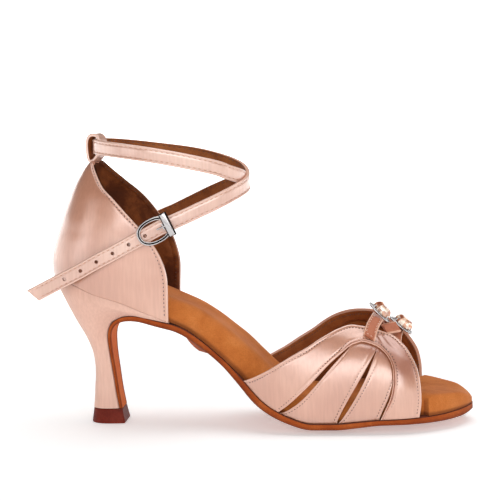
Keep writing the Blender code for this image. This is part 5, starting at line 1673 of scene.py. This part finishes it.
stageLook = {"radius": 3.0, "wallHeight": 0.70, "nearGlow": 0.38, "farGlow": 0.95, "wallGlow": 1.0,
             "world": 0.06, "frontFloor": 0.45, "frontWall": 0.7, "centre": 0.08,
             "fadeFrom": 0.18, "fadeTo": 0.7}
bpy.ops.object.select_all(action="DESELECT")
bpy.ops.mesh.primitive_circle_add(vertices=96, radius=stageLook["radius"], fill_type="NGON",
                                  location=(stageLook["centre"], 0.0, -0.0001))
floor = bpy.context.object
floor.name = "floor"
wallPlace = (stageLook["centre"], 0.0, stageLook["wallHeight"] / 2.0 - 0.0002)
bpy.ops.mesh.primitive_cylinder_add(vertices=96, radius=stageLook["radius"], depth=stageLook["wallHeight"],
                                    end_fill_type="NOTHING", location=wallPlace)
roundWall = bpy.context.object
roundWall.name = "roundWall"
for piece, name in ((floor, "paleFloor"), (roundWall, "paleWall")):
    paleFinish, paleSurface = newFinish(name, {
        "Base Color": (0.90, 0.90, 0.90, 1.0), "Roughness": 0.8,
        "Emission Color": (1.0, 1.0, 1.0, 1.0), "Emission Strength": stageLook["wallGlow"]})
    # softer in front of the shoe than behind it
    place = objectCoords(paleFinish)
    split = addNode(paleFinish, "ShaderNodeSeparateXYZ")
    wire(paleFinish, place, "Vector", split, "Vector")
    onFloor = piece == floor
    side = addNode(paleFinish, "ShaderNodeMapRange", {
        "From Min": -0.45 if onFloor else -1.5, "From Max": 0.0 if onFloor else 1.5,
        "To Min": stageLook["frontFloor"] if onFloor else stageLook["frontWall"], "To Max": 1.0})
    wire(paleFinish, split, "Y", side, "Value")
    glow = addNode(paleFinish, "ShaderNodeMath", {1: stageLook["wallGlow"]}, operation="MULTIPLY")
    wire(paleFinish, side, "Result", glow, 0)
    if onFloor:
        # the floor fades to plain white away from the shoe
        distance = addNode(paleFinish, "ShaderNodeVectorMath", operation="LENGTH")
        fade = addNode(paleFinish, "ShaderNodeMapRange", {
            "From Min": stageLook["fadeFrom"], "From Max": stageLook["fadeTo"],
            "To Min": stageLook["nearGlow"], "To Max": stageLook["farGlow"]})
        wire(paleFinish, place, "Vector", distance, 0)
        wire(paleFinish, distance, "Value", fade, "Value")
        wire(paleFinish, fade, "Result", glow, 1)
    wire(paleFinish, glow, "Value", paleSurface, "Emission Strength")
    dress(piece, paleFinish)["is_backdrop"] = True

world = bpy.data.worlds.new("studio")
bpy.context.scene.world = world
world.use_nodes = True
sky = world.node_tree.nodes["Background"]
sky.inputs["Color"].default_value = (1.0, 1.0, 1.0, 1.0)
sky.inputs["Strength"].default_value = stageLook["world"]
bpy.context.scene.view_settings.view_transform = "Standard"


def addLight(name, place, target, size, power):
    bpy.ops.object.select_all(action="DESELECT")
    bpy.ops.object.light_add(type="AREA", location=place)
    light = bpy.context.object
    light.name = name
    light.data.shape = "RECTANGLE"
    light.data.size, light.data.size_y = size
    light.data.energy = power
    light.rotation_euler = (Vector(target) - Vector(place)).to_track_quat("-Z", "Y").to_euler()


middle = (0.08, 0.0, 0.07)
addLight("stripLight", (0.20, -1.05, 0.50), middle, (1.20, 0.42), 5.0)
addLight("leftLight", (-0.75, -0.60, 0.30), middle, (0.35, 0.45), 0.55)
addLight("toeLight", (0.85, -0.15, 0.35), middle, (0.30, 0.35), 0.35)
addLight("topLight", (0.15, 0.15, 1.05), middle, (1.40, 1.00), 8.6)

# the focal length is in widths of the picture, and the roll turns the picture a little
cameraLook = {"azimuth": 5.0, "elevation": 6.0, "roll": 1.2, "distance": 0.8, "focal": 2.96, "sensor": 36.0,
              "target": (0.07819, 0.0, 0.09329)}
azimuth, elevation, roll = [math.radians(cameraLook[name]) for name in ("azimuth", "elevation", "roll")]
behind = Vector((math.sin(azimuth) * math.cos(elevation), -math.cos(azimuth) * math.cos(elevation),
                 math.sin(elevation)))
right = Vector((math.cos(azimuth), math.sin(azimuth), 0.0))
upright = behind.cross(right)
turned = Matrix((right * math.cos(roll) - upright * math.sin(roll),
                 right * math.sin(roll) + upright * math.cos(roll), behind)).transposed().to_4x4()
turned.translation = Vector(cameraLook["target"]) + behind * cameraLook["distance"]
bpy.ops.object.camera_add()
camera = bpy.context.object
camera.data.sensor_width = cameraLook["sensor"]
camera.data.lens = cameraLook["focal"] * cameraLook["sensor"]
camera.data.clip_start = 0.01
camera.matrix_world = turned
bpy.context.scene.camera = camera

low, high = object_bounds()
print("stage set")
